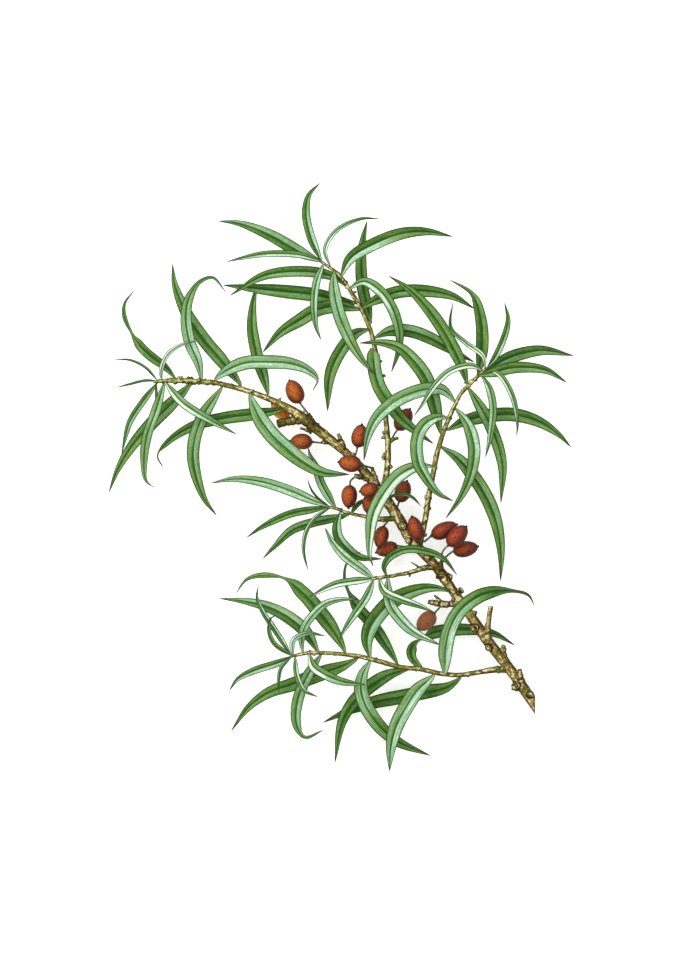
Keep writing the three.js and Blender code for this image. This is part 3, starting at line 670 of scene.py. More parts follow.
# %% [markdown]
# ## The bark
# The old wood is ochre and olive. Light and shade are painted into it: the side turned to the
# window gets a painted highlight of almost ivory, the flanks a brown painted shade, and painted
# shade darkens the creases, such as the lines round every knob. Cracks run along it, and corky
# dots and speckles are scattered over it. Running the pattern on plain coordinates would smear
# it where the stem bends, so every point of a stem carries two attributes. The first, grain, says
# how far along the stem the point is and where it is across it, in millimetres. The second holds
# three numbers from 0 to 1: how old the wood is, whether the point lies in a crease, which gets
# painted shade, or on a ridge, which gets painted highlight, and how much painted light it gets.
# Knobs are olive, and where a shoot leaves the stem a collar of bark has stayed green. Ages below
# 0 stand for these: -0.3 for a knob and -1 for a collar.

# %% Bark for old wood and for young twigs
COLLAR_GREEN = tint(0.27, 0.32, 0.10)
# The painted shade of young bark.
PAINTED_SHADE_OLIVE = tint(0.20, 0.22, 0.05)


def bark(name, crack_and_crease_shade, painted_shade, body, ridge, green, cracked, dark_to, roughness, depth):
    """Five colours: cracks, which also give the creases their painted shade, the flanks' painted
    shade, the body where the painted light falls, the ridges' painted highlight, which also colours
    the corky dots, and the green of young bark. Then how much of it is cracked, how much painted
    light still leaves it as dark as the flanks' painted shade, how rough it is and how deep its
    fibres lie.
    """
    finish = Finish(name, Specular_IOR_Level=0.1)
    grain = finish.attribute("grain")
    along, side, up = finish.parts(grain)
    age, crease, painted_light = finish.parts(finish.attribute("wear"))
    fibres = finish.cloud(finish.vector(along * 0.7, side * 2.2, up * 2.2), detail=4.0)
    bands = finish.cloud(finish.vector(along * 2.0, side * 0.5, up * 0.5), detail=3.0)
    patches = finish.cloud(finish.vector(along * 0.5, side * 1.1, up * 1.1), detail=3.0)
    stretches = finish.cloud(finish.vector(along * 0.15, side * 0.3, up * 0.3), detail=1.0)
    speckle = finish.cloud(grain, scale=1.5, detail=4.0)
    dots = finish.dots(grain, 0.8, size=0.14, edge=0.28)

    # Painted light and shade: the body colour on the side turned to the window, the flanks' painted shade
    # on the side away from it, mixed with random bleached patches and fibres.
    painted_light_with_patches = (painted_light + (patches - 0.5) * 0.9 + (fibres - 0.5) * 0.6).rise(dark_to, 1.08)
    young = (1 - age) * patches.rise(0.22, 0.5) * 0.8
    lit_colour = finish.mix(young, body, green)
    shaded_colour = finish.mix(young, painted_shade, PAINTED_SHADE_OLIVE)
    # A painted highlight in the ridge colour on the lit ridges and bands.
    light = (painted_light_with_patches * (bands + crease * 0.5 + (stretches - 0.5) * 0.9)).rise(0.53, 0.80)
    unrubbed = 1 - crease.rise(0.85, 1.0) * 0.8
    colour = finish.coats(
        finish.mix(painted_light_with_patches, shaded_colour, lit_colour),
        (light * (1 - young * 0.5), ridge),
        ((1 - age.rise(-0.9, -0.1)) * 0.85, COLLAR_GREEN),
        ((1 - fibres.rise(cracked - 0.12, cracked)) * unrubbed * 0.6, crack_and_crease_shade),
        ((1 - speckle.rise(cracked - 0.12, cracked)) * unrubbed * 0.5, crack_and_crease_shade),
        (dots * 0.25, ridge),
        # Painted shade in the creases, such as round every knob.
        ((1 - crease.rise(0.12, 0.42)) * 0.9, crack_and_crease_shade),
    )
    height = fibres + speckle * 0.5 + dots * 0.4
    return finish.paint(
        Base_Color=colour, Roughness=roughness - fibres * 0.2, Normal=finish.relief(height, depth)
    )


old_bark = bark(
    "old_bark", crack_and_crease_shade=tint(0.20, 0.13, 0.04), painted_shade=tint(0.29, 0.21, 0.06), body=tint(0.60, 0.52, 0.25),
    ridge=tint(0.89, 0.85, 0.66), green=tint(0.46, 0.46, 0.18),
    cracked=0.43, dark_to=0.48, roughness=0.95, depth=0.16 * MM,
)
twig_bark = bark(
    "twig_bark", crack_and_crease_shade=tint(0.24, 0.15, 0.04), painted_shade=tint(0.28, 0.20, 0.05), body=tint(0.54, 0.50, 0.24),
    ridge=tint(0.82, 0.82, 0.60), green=tint(0.49, 0.57, 0.23),
    cracked=0.42, dark_to=0.58, roughness=0.9, depth=0.08 * MM,
)
stalk_bark = bark(
    "stalk_bark", crack_and_crease_shade=tint(0.15, 0.14, 0.09), painted_shade=tint(0.22, 0.22, 0.13), body=tint(0.38, 0.40, 0.25),
    ridge=tint(0.56, 0.60, 0.44), green=tint(0.32, 0.37, 0.20),
    cracked=0.46, dark_to=0.50, roughness=0.85, depth=0.05 * MM,
)


# %% The face of the pruning cut
def cut_face():
    finish = Finish("cut_wood")
    _, side, up = finish.parts(finish.attribute("grain"))
    from_pith = side * side + up * up
    year_rings = finish.cloud(finish.vector(from_pith * 1.6, side * 0.3, up * 0.3), detail=2.0)
    wood = finish.mix(year_rings.rise(0.4, 0.6), tint(0.38, 0.34, 0.13), tint(0.60, 0.56, 0.28))
    pith = 1 - from_pith.rise(0.05, 0.35)
    colour = finish.mix(pith * 0.8, wood, tint(0.27, 0.22, 0.09))
    return finish.paint(Base_Color=colour, Roughness=0.75 + year_rings * 0.15)


cut_wood = cut_face()

# %% [markdown]
# ## How a stem is built
# A stem is a main tube with ringed spurs, plain stumps and knobs that grow out of it. Bark has
# no creases where they meet, so at first the parts only overlap. A voxel remesh then melts them
# into one skin, a few rounds of smoothing round the joints, and noise along the grain gives the
# ridges.

# %% A tube through stations of place and radius
RING_STEP = 0.3 * MM
SCAR_RINGS = 1.3 * MM  # how far apart the rings of leaf scars on a spur are, about
CLEAR_RINGS = 1.35 * MM  # the radius up to which a spur's rings are as clear as they can be
RIDGE_SHARE = 0.20  # how far a ring on a spur stands out, as a share of its radius
GROOVE_SHARE = 0.12  # how deep a groove round the main stem is, in the same measure
GROOVE_HALF = 0.3 * MM


def carry_over(part, bm):
    """Adds one bmesh to another."""
    carried = bpy.data.meshes.new("carried")
    part.to_mesh(carried)
    part.free()
    bm.from_mesh(carried)
    bpy.data.meshes.remove(carried)


def ring_at(line, walked):
    """From -1 between two rings of a spur to 1 on a ring, so far along it. Thick spurs are older,
    and their rings are worn down.
    """
    thickness = line.radii[0]
    uneven = 0.35 * math.sin(walked / MM * 1.7 + thickness / MM * 9)
    worn_down = min((CLEAR_RINGS / thickness) ** 2, 1.0)
    return worn_down * math.sin(math.tau * (walked / SCAR_RINGS + uneven))


def add_tube(bm, stations, sides, ringed=False, grooves=()):
    """Adds a closed round tube to the bmesh, and returns its middle line."""
    line = MiddleLine(stations, ringed)
    steps = max(2, round(line.length / RING_STEP))
    tube = bmesh.new()
    bmesh.ops.create_cone(tube, cap_ends=True, segments=sides, radius1=1, radius2=1, depth=1)
    walls = [edge for edge in tube.edges if abs(edge.verts[0].co.z - edge.verts[1].co.z) > 0.5]
    bmesh.ops.subdivide_edges(tube, edges=walls, cuts=steps - 1, use_grid_fill=True)
    for vert in tube.verts:
        share = vert.co.z + 0.5
        side, up = across(line.direction(share))
        spoke = side * vert.co.x - up * vert.co.y
        radius = line.radius(share)
        walked = share * line.length
        if ringed:
            radius *= 1 + RIDGE_SHARE * ring_at(line, walked)
        for groove in grooves:
            radius *= 1 - GROOVE_SHARE * math.exp(-(((walked - groove) / GROOVE_HALF) ** 2))
        vert.co = line.point(share) + spoke * radius
    carry_over(tube, bm)
    return line


# %% Knobs, ring scars and rows of leaf feet
GOLDEN_ANGLE = math.radians(137.5)  # from one leaf of a shoot round to the next


def add_knob(bm, u, v, height, radius):
    """An uneven knob of bark, such as a bud or a healed stub: a few lumps pushed together."""
    chance = random.Random(f"knob {u} {v}")
    lumps = 4
    for _ in range(lumps):
        lump = radius * chance.uniform(0.45, 0.7) * MM
        push = Vector([chance.uniform(-1, 1) for _ in range(3)]) * (radius * MM - lump)
        spot = Matrix.Translation(place(u, v, height) + push)
        bmesh.ops.create_icosphere(bm, subdivisions=2, radius=lump, matrix=spot)


def walked_to(line, u, v):
    """How far along a line the point nearest to a square of the plan is."""
    target = place(u, v, 0).xy
    nearest = min(range(len(line.points)), key=lambda i: (line.points[i].xy - target).length)
    return line.walked[nearest]


def scar_place(line, u, v, lift):
    """Where a scar's middle is, and which way it faces. Lift is how far it is above the pith."""
    centre = line.point(walked_to(line, u, v) / line.length)
    spot = place(u, v, 0)
    spot.z = centre.z + lift * MM
    return spot, (spot - centre).normalized()


def add_ring_scar(bm, line, u, v, lift, radius):
    """A raised ring round a pale dot, left where a side shoot fell off."""
    spot, outward = scar_place(line, u, v, lift)
    bead = 0.42
    ring = bmesh.new()
    upright = Matrix.Translation((radius, 0, 0)) @ Matrix.Rotation(math.pi / 2, 4, "X")
    made = bmesh.ops.create_circle(ring, segments=8, radius=bead, matrix=upright)["verts"]
    rim = list({edge for vert in made for edge in vert.link_edges})
    bmesh.ops.spin(
        ring, geom=made + rim, cent=(0, 0, 0), axis=(0, 0, 1), angle=math.tau, steps=16,
        use_merge=True,
    )
    facing = outward.to_track_quat("Z", "Y").to_matrix().to_4x4()
    bmesh.ops.transform(
        ring, verts=ring.verts, matrix=Matrix.Translation(spot) @ facing @ Matrix.Scale(MM, 4)
    )
    bmesh.ops.recalc_face_normals(ring, faces=ring.faces)
    carry_over(ring, bm)
    dot = Matrix.Translation(spot + outward * 0.1 * MM)
    bmesh.ops.create_icosphere(bm, subdivisions=2, radius=0.4 * radius * MM, matrix=dot)


def add_leaf_feet(bm, line, every, size):
    """Small swellings that wind up a shoot, one for each leaf that it has carried."""
    chance = random.Random(f"leaf feet {every} {len(line.radii)}")
    for i in range(1, int(line.length / (every * MM))):
        share = i * every * MM / line.length
        side, up = across(line.direction(share))
        spoke = side * math.cos(i * GOLDEN_ANGLE) + up * math.sin(i * GOLDEN_ANGLE)
        radius = line.radius(share)
        spot = Matrix.Translation(line.point(share) + spoke * radius * 0.8)
        swelling = radius * size * chance.uniform(0.75, 1.3)
        bmesh.ops.create_icosphere(bm, subdivisions=2, radius=swelling, matrix=spot)


# %% Melt the tubes into one skin
def smooth(bm, rounds):
    for _ in range(rounds):
        bmesh.ops.smooth_vert(
            bm, verts=bm.verts, factor=0.5, use_axis_x=True, use_axis_y=True, use_axis_z=True
        )
    bm.normal_update()


def melt(bm, voxel, rounds):
    """Remeshes what is in the bmesh into one skin, and smooths it."""
    holder = lay_out("rough", bm)
    rough = holder.data
    remesh = holder.modifiers.new("melt", "REMESH")
    remesh.mode = "VOXEL"
    remesh.voxel_size = voxel
    seen = holder.evaluated_get(bpy.context.evaluated_depsgraph_get())
    skin = bmesh.new()
    skin.from_mesh(seen.to_mesh())
    seen.to_mesh_clear()
    bpy.data.objects.remove(holder)
    bpy.data.meshes.remove(rough)
    smooth(skin, rounds)
    return skin


# %% Give the skin its grain and its ridges
SAMPLES_PER_MM = 4
GRAIN_GAP = 40  # in mm, between the grains of two tubes of a stem, so that they don't match
FIBRE_SHARE = 0.6  # how much of a ridge fibres and lumps push the bark out
LUMP_SHARE = 1.1
LUMP_SEED = Vector((9, 9, 9))


def walk(line):
    """Evenly spaced places along a line, each with how far along it is."""
    count = max(2, round(line.length / MM * SAMPLES_PER_MM))
    return [(line, i / count, line.point(i / count)) for i in range(count + 1)]


def carve(skin, lines, ridge):
    """Pushes the bark in and out along the grain.

    Returns the grain of each point, and how far up a ring it is if it is on a spur.
    """
    samples = [sample for line in lines for sample in walk(line)]
    tree = kdtree.KDTree(len(samples))
    for i, (_, _, point) in enumerate(samples):
        tree.insert(point, i)
    tree.balance()
    grains, rings = [], []
    for vert in skin.verts:
        _, nearest, _ = tree.find(vert.co)
        line, share, point = samples[nearest]
        side, up = across(line.direction(share))
        spoke = (vert.co - point) / MM
        along = share * line.length / MM + GRAIN_GAP * lines.index(line)
        grain = Vector((along, spoke.dot(side), spoke.dot(up)))
        grains.append(grain)
        rings.append(ring_at(line, share * line.length) if line.ringed else None)
        fibres = noise.noise(Vector((along * 0.5, grain.y * 1.9, grain.z * 1.9)))
        lumps = noise.noise(Vector((along * 0.45, grain.y * 0.5, grain.z * 0.5)) + LUMP_SEED)
        vert.co += vert.normal * ridge * (FIBRE_SHARE * fibres + LUMP_SHARE * lumps)
    return grains, rings


# %% Measure how each point of the bark is worn
CREASE_DEPTH = 0.11 * MM  # a point this far in or out is fully in a crease or on a ridge
SPUR_AGE = 0.3  # spurs are a good deal younger than the stem


def age_and_painted_light_of(skin, rings, age_at):
    """For each point: its age, 0 in a crease to 1 on a ridge for the painted shade and highlight, and how
    much painted light it gets.
    """
    softened = skin.copy()
    smooth(softened, rounds=8)
    pairs = list(zip(skin.verts, softened.verts))
    proud = [(vert.co - soft.co).dot(soft.normal) for vert, soft in pairs]
    usual = sorted(proud)[len(proud) // 2]
    ages_and_painted_light = []
    for (vert, soft), stands, ring in zip(pairs, proud, rings):
        crease = min(max(0.5 + 0.5 * (stands - usual) / CREASE_DEPTH, 0.0), 1.0)
        age = age_at(vert.co)
        if ring is not None:
            age = min(age, SPUR_AGE)
            # Painted shade between the rings of a spur.
            crease = min(crease, 0.5 + 0.45 * ring)
        ages_and_painted_light.append((age, crease, painted_light_on(soft.normal)))
    softened.free()
    return ages_and_painted_light


# The shares of a scar's radius at which its bark changes: a pale dot of painted highlight, a
# groove of painted shade, a lip with painted highlight, and a line of painted shade round it.
SCAR_BANDS = ((0.5, 1.0), (0.85, 0.0), (1.15, 0.8), (1.55, 0.0))


def paint_scar_light_and_shade(skin, ages_and_painted_light, line):
    """Paints a highlight on the middles and lips of the ring scars, and painted shade in the grooves in and
    round them.
    """
    for u, v, lift, radius in RING_SCARS:
        spot, outward = scar_place(line, u, v, lift)
        for i, vert in enumerate(skin.verts):
            away = (vert.co - spot) / MM
            if away.length > 2.5 * radius:
                continue
            share = (away - outward * away.dot(outward)).length / radius
            share += 0.15 * noise.noise(vert.co / MM * 0.9)
            scar_light = next((scar_light for limit, scar_light in SCAR_BANDS if share < limit), None)
            age, crease, painted_light = ages_and_painted_light[i]
            if scar_light == 1.0:
                ages_and_painted_light[i] = (age, 1.0, 1.0)
            elif scar_light == 0.0:
                ages_and_painted_light[i] = (age, crease * 0.25, painted_light * 0.6)
            elif scar_light is not None:
                ages_and_painted_light[i] = (age, max(crease, scar_light), max(painted_light, scar_light))


def shift_painted_light(skin, ages_and_painted_light):
    """Gives stretches of the bark more painted light or less, fading out towards their rims."""
    for u, v, height, radius, change in STRETCHES:
        middle = place(u, v, height)
        for i, vert in enumerate(skin.verts):
            nearness = 1 - (vert.co - middle).length / (radius * MM)
            if nearness > 0:
                age, crease, painted_light = ages_and_painted_light[i]
                ages_and_painted_light[i] = (age, crease, max(painted_light + change * min(2 * nearness, 1.0), 0.0))


# %% Make a piece of bark
def bark_piece(name, skin, lines, ridge, age_at, materials, node):
    """Carves a skin, and makes a piece of it whose points know their grain, their age and their painted
    light and shade.
    """
    grains, rings = carve(skin, lines, ridge)
    ages_and_painted_light = age_and_painted_light_of(skin, rings, age_at)
    if node == "main_stem":
        shift_painted_light(skin, ages_and_painted_light)
        paint_scar_light_and_shade(skin, ages_and_painted_light, lines[0])
    piece = make_piece(name, skin, materials, node)
    record(piece, "grain", grains)
    record(piece, "wear", ages_and_painted_light)
    print(name, "has", len(piece.data.polygons), "faces")


# %% [markdown]
# ## The main stem and its shoots
# The main stem rises from the pruned butt, which rests on the table, and thins out towards the
# tuft at the left. Four shoots leave it on the way up and one near the butt. Each list below
# starts at the thick end, and a station is squares right, squares down, height and radius in mm.

# %% Where the stems run
STEMS = {
    "main_stem": [
        (541, 713.5, 2.2, 2.2), (529.5, 697, 2.2, 2.2), (516.5, 678, 3.9, 2.15), (503, 660.5, 5.8, 2.1),
        (487, 640, 7.5, 2.2), (473.5, 620, 8.7, 2), (453, 591, 10, 1.9), (443, 576, 10.8, 2.35),
        (437, 568, 11.3, 1.9), (427, 556.5, 11.8, 2.1), (411, 540, 12.8, 2.1), (399.5, 520, 13.5, 2.3),
        (385, 498, 14.2, 2.2), (371.5, 480, 14.7, 2), (357, 463.5, 15.2, 1.8), (343.5, 450.5, 15.6, 1.8),
        (325, 435.5, 15.9, 1.95), (312, 425.5, 16, 2.2), (300, 416, 16.2, 2.2), (288, 408, 16.5, 1.6),
        (278, 402.8, 16.7, 1.3), (260, 395.3, 16.9, 1.15), (240, 388.8, 17, 1.1), (220, 383.8, 17, 1.05),
        (211, 382.2, 17, 1.05), (204, 382, 17, 1.0),
    ],
    "top_shoot": [
        (376, 490, 14.2, 1.3), (382, 488, 14.5, 1.3), (387, 470, 16, 1.25), (388, 445, 17, 1.2),
        (386, 420, 17, 1.1), (384, 395, 17.2, 1.1), (378, 365, 17.5, 1.05), (371, 332, 18, 0.95),
        (357, 301, 18.6, 0.8), (351, 292, 18.9, 0.75),
    ],
    "right_shoot": [
        (419, 549, 12.5, 1.2), (425.5, 518, 14.5, 1.15), (429, 495, 16, 1.2), (433, 475, 17.5, 1.1),
        (438, 450, 19, 1.05), (447, 423, 20.5, 0.95), (461, 393.5, 22.3, 0.8), (466, 387, 22.7, 0.75),
    ],
    "mid_left_shoot": [
        (394, 518.5, 13.6, 1.2), (380, 519, 14, 1.1), (368, 517, 14.5, 0.8), (361, 515.7, 14.8, 0.7),
        (355, 514.5, 15.1, 0.65),
    ],
    "middle_shoot": [
        (434, 567, 11.2, 1.3), (424, 568, 12, 1.1), (412, 572, 12.9, 0.9), (397, 575, 13.9, 0.75),
        (390, 576, 14.3, 0.72),
    ],
    "lower_left_shoot": [
        (509, 670, 5.2, 1.3), (497, 669.5, 5.6, 1.4), (480, 672, 6.4, 1.05), (460, 675, 7.8, 1),
        (440, 673.5, 9, 1), (420, 669, 10.2, 1), (400, 667, 11.2, 1), (380, 661.5, 12.2, 1),
        (360, 656.5, 13, 0.95), (331, 653.2, 13.9, 0.8), (324, 653, 14.1, 0.76),
    ],
}
print("the main stem is", round(MiddleLine(STEMS["main_stem"]).length / MM), "mm long")

# %% Spurs and stumps that grow from them
SPURS = {
    "main_stem": [
        [(304, 420, 16, 1.7), (290, 421, 15.8, 1.8), (277, 424, 15.5, 1.7)],
        [(313, 423, 16.2, 1.1), (308, 413.5, 16.4, 1)],
        [(312, 432, 15.8, 1), (299.5, 428, 15.6, 0.4)],
        [(344, 448, 15.8, 1.1), (341, 440, 16.5, 1), (338, 433.5, 17, 0.7)],
        [(331, 442, 15.4, 1.1), (321, 442.5, 14.8, 0.8)],
        [(350, 459, 15.6, 1.1), (354.5, 453.5, 16.4, 0.9)],
        [(377, 484, 14.8, 1.2), (372, 467, 16.4, 0.7)],
        [(368, 479, 14.8, 1.3), (354, 475.5, 14.8, 0.9)],
        [(441, 575, 11, 1.3), (441, 561, 12.4, 0.8)],
        [(444, 578, 10.6, 1.6), (450.5, 575, 10.8, 1.1)],
        [(455, 594, 10, 1.6), (462, 590, 10.2, 1.1)],
        [(461, 602, 9.4, 1.5), (444, 604.5, 9.6, 1.4), (428, 601.5, 9.8, 1)],
        [(442, 602, 9.8, 0.8), (434, 595, 10.4, 0.45)],
        [(488, 641, 7.8, 1.7), (487.5, 627, 9.2, 1.4), (488.5, 624, 9.4, 1.05)],
        [(506, 663, 5.8, 1.4), (504, 652, 7, 1), (503.5, 648, 7.5, 1.15), (503.5, 645, 7.8, 0.7)],
        [(524, 689, 3.4, 1.5), (521, 678, 4.8, 1.3), (519.5, 669, 5.8, 0.9)],
        [(521, 688, 3.2, 1.5), (512, 686.5, 3.6, 1.6)],
        [(527, 696, 2.6, 1.6), (531.5, 693, 2.8, 1.3)],
    ],
    "top_shoot": [[(388, 443, 17, 1), (394, 439, 17.3, 0.85), (398.5, 438, 17.4, 0.6)]],
    "middle_shoot": [[(422, 569, 12.2, 0.5), (411, 562, 13, 0.3)]],
}

STUMPS = {"main_stem": [[(488, 629, 9.1, 1.05), (489, 618, 9.8, 1.05), (491, 606, 10.6, 1.1)]]}

# %% Knobs: buds and healed stubs
KNOBS = {
    "main_stem": [
        (475, 613, 9.8, 1.2), (438, 577, 11, 1.2), (327, 431, 17, 0.9), (503, 668, 6.5, 1.1),
        (393, 503, 15.8, 0.9), (381, 500, 15.4, 0.9), (391, 513, 14.8, 0.8), (366, 467, 16.5, 0.8),
        (335, 447, 16.6, 0.8), (318, 424, 17.5, 0.8), (304, 411, 17.5, 0.8), (280, 399, 17.6, 0.7),
        (281, 424, 16.8, 0.8), (296, 418, 17.8, 0.8), (240, 386.5, 17.4, 0.9), (268, 398, 17.4, 1),
        (262, 397, 16.5, 0.9), (252, 391, 17.6, 0.9), (243, 391, 16.8, 0.9), (232, 385, 17.6, 0.9),
        (226, 387, 16.8, 0.9), (221, 382, 17.4, 0.8), (214, 384, 17, 0.9), (452, 600, 11, 1),
        (464, 604, 10.6, 0.9), (497, 655, 7.8, 0.9), (413, 549, 12.8, 1), (489, 633, 8.8, 1),
        (400, 515, 15.2, 0.8), (516, 679, 4.6, 1.2), (450.5, 576, 11.4, 1.1),
    ],
    "top_shoot": [
        (355, 292, 19, 0.8), (354, 303, 18.8, 0.8), (371, 322, 18.3, 0.9), (381, 362, 18, 0.9),
        (384, 376, 17.6, 0.9), (383.4, 433, 17.2, 1.1), (383.4, 437, 17.2, 1.1), (384, 454.5, 17, 1),
        (383.8, 458, 17, 1.1), (391, 467, 16.6, 1.1),
    ],
    "right_shoot": [
        (426, 497, 16.3, 1), (436, 466, 18.4, 0.8), (441, 446, 19.5, 0.8), (450, 421, 21, 0.8),
        (457, 404, 22, 0.7), (465, 383, 23, 0.7), (429, 509, 15, 1), (423, 523, 14.6, 0.9),
        (426, 535, 14, 1),
    ],
    "mid_left_shoot": [(374, 519, 14.6, 0.7)],
    "middle_shoot": [(416, 571, 13.1, 0.7), (410, 576, 12.8, 0.7), (403, 573, 14, 0.7)],
    "left_tip_leaves": [
        (171, 378.5, 16.6, 0.5), (182, 377, 17, 0.7), (188, 377, 17, 0.6), (200, 378.5, 17.2, 0.7),
        (187, 384.5, 16.4, 0.7), (193, 384.5, 16.4, 0.6), (199, 384, 17, 0.7), (205, 379, 17.4, 0.6),
        (177, 383, 16.2, 0.5),
    ],
    "lower_left_shoot": [
        (496.5, 669, 6, 1.6), (470, 672, 7.6, 0.8), (446, 676, 9, 0.8), (421, 667, 10.6, 0.8),
        (409, 669, 11.2, 0.8), (371, 658, 13, 0.8), (345, 655, 13.8, 0.7),
    ],
}

# %% Ring scars and grooves of the main stem
RING_SCARS = [
    (473, 629, 1.9, 1.25), (488, 648, 1.95, 1.15), (427.5, 557.5, 2.1, 1), (408, 541, 1.8, 1),
    (402.5, 526, 2.2, 1.15), (461.5, 590, 1.3, 1.05), (514, 687, 1.9, 1.2), (530.5, 694, 2.1, 1.15),
    (384, 497, 2.3, 0.8), (450, 577, 1.6, 0.9),
]
# Stretches of the main stem that are darker or paler than the rest: squares right, squares
# down, height and radius in mm, and how much painted light they gain.
STRETCHES = [
    (311, 424, 16, 6.5, -0.3), (282, 422, 15.6, 5, -0.26), (438, 570, 11, 5, -0.2), (358, 467, 15, 4, -0.2),
    (225, 385, 17, 7, -0.15), (373, 485, 14.6, 4, 0.25), (463, 606, 9.4, 6, 0.2),
]
# Where a shoot leaves the stem, and how far in mm its green collar reaches.
COLLARS = {"lower_left_shoot": (500.5, 670.5, 5.6, 2.4), "mid_left_shoot": (389, 518, 13.8, 2.6)}
GROOVES = [
    (443, 577), (445.5, 580.5), (448, 584), (404, 530), (396, 516), (391, 507), (457, 596), (481, 631),
    (484, 635), (344, 451), (347, 454), (309, 423), (300, 416), (294, 412),
]

# %% Build the stems
BUTT_CUT_U = 535
STEM_PLACES = []  # places along the middle of every stem, each with the radius there
YOUNG_FROM = 0.4  # the share of a shoot from which its bark starts to turn green
YOUNGEST = 0.45  # the age of the bark at its end, where 1 is old and 0 would be all green
KNOB_AGE = -0.3  # knobs are olive, on the way from young bark to the green of a collar
COLLAR_AGE = -1.0
KNOB_REACH = 1.05  # how far the olive reaches, as a share of the knob's radius


def cut_butt(skin):
    """Cuts the thick end off square to the plan, and closes it with a face of cut wood."""
    bmesh.ops.bisect_plane(
        skin, geom=skin.verts[:] + skin.edges[:] + skin.faces[:],
        plane_co=place(BUTT_CUT_U, 0, 0), plane_no=(1, 0, 0), clear_outer=True,
    )
    rim = [edge for edge in skin.edges if edge.is_boundary]
    closed = bmesh.ops.triangle_fill(skin, edges=rim, use_beauty=True)["geom"]
    for part in closed:
        if isinstance(part, bmesh.types.BMFace):
            part.material_index = 1
            for edge in part.edges:
                edge.smooth = len([f for f in edge.link_faces if f.material_index == 1]) == 2
    bmesh.ops.recalc_face_normals(skin, faces=skin.faces)


def build_stem(name, material, voxel, ridge):
    bm = bmesh.new()
    is_main = name == "main_stem"
    main = MiddleLine(STEMS[name])
    STEM_PLACES.extend((point, main.radius(share)) for _, share, point in walk(main))
    grooves = [walked_to(main, u, v) for u, v in GROOVES] if is_main else []
    lines = [add_tube(bm, STEMS[name], sides=24, grooves=grooves)]
    lines += [add_tube(bm, spur, sides=14, ringed=True) for spur in SPURS.get(name, [])]
    lines += [add_tube(bm, stump, sides=14) for stump in STUMPS.get(name, [])]
    for knob in KNOBS[name]:
        add_knob(bm, *knob)
    if is_main:
        for scar in RING_SCARS:
            add_ring_scar(bm, main, *scar)
    else:
        add_leaf_feet(bm, main, every=4.2, size=0.55)
    skin = melt(bm, voxel, rounds=2)
    if is_main:
        cut_butt(skin)

    first, last = main.point(0), main.point(1)
    u, v, height, collar = COLLARS.get(name, (0, 0, 0, 0))
    greens = [(place(u, v, height), collar, COLLAR_AGE)]
    greens += [(place(*knob[:3]), knob[3] * KNOB_REACH, KNOB_AGE) for knob in KNOBS[name]]

    def age_at(point):
        for middle, within, age in greens:
            if (point - middle).length < within * MM:
                return age
        share = (point - first).length / (last - first).length
        return min(max((1 - share) / (1 - YOUNG_FROM), YOUNGEST), 1.0)

    bark_piece(f"{name}_wood", skin, lines, ridge, age_at, [material, cut_wood], name)


build_stem("main_stem", old_bark, voxel=0.24 * MM, ridge=0.12 * MM)
build_stem("lower_left_shoot", twig_bark, voxel=0.2 * MM, ridge=0.07 * MM)
for shoot in ("top_shoot", "right_shoot", "mid_left_shoot", "middle_shoot"):
    build_stem(shoot, twig_bark, voxel=0.2 * MM, ridge=0.07 * MM)


# %% [markdown]
# ## The green twigs in the tufts
# The last few centimetres of each shoot are thin, green and set with the swollen feet of young
# leaves. They are made as the shoots are, only finer, with a small swelling at every leaf's foot.

# %% Where the tip twigs run
TIP_TWIGS = {
    "left_tip_leaves": [
        (211, 382.5, 17, 1.05), (190, 381, 16.6, 1.15), (170, 380.5, 16.2, 1), (153, 382, 16, 0.6),
    ],
    "top_tip_leaves": [(356, 300, 18.7, 0.8), (340, 276, 19.5, 0.8), (322, 262, 20, 0.6)],
    "right_tip_leaves": [(461, 393.5, 22.4, 0.8), (478, 376, 23.5, 0.8), (487, 368, 24, 0.6)],
    "mid_left_tip_leaves": [
        (360, 515.5, 14.9, 0.68), (345, 512, 15.5, 0.65), (336, 508.5, 16, 0.7), (328, 507, 16, 0.5),
    ],
    "middle_tip_leaves": [(396, 575.5, 14, 0.73), (384, 577, 14.6, 0.75), (372, 579, 15, 0.65)],
    "lower_left_tip_leaves": [(330, 653, 13.9, 0.78), (308, 653, 14.6, 0.8), (291, 656.5, 14.8, 0.6)],
}

# %% [markdown]
# ## The tufts of young leaves
# Up to ten young leaves open from each tip and arch over each other. Their pale halves, silver
# with painted highlight, are what makes a tuft sparkle, so every leaf is written out: its width in
# mm, how pale its left and right half are as it grows, and its stations from foot to tip.

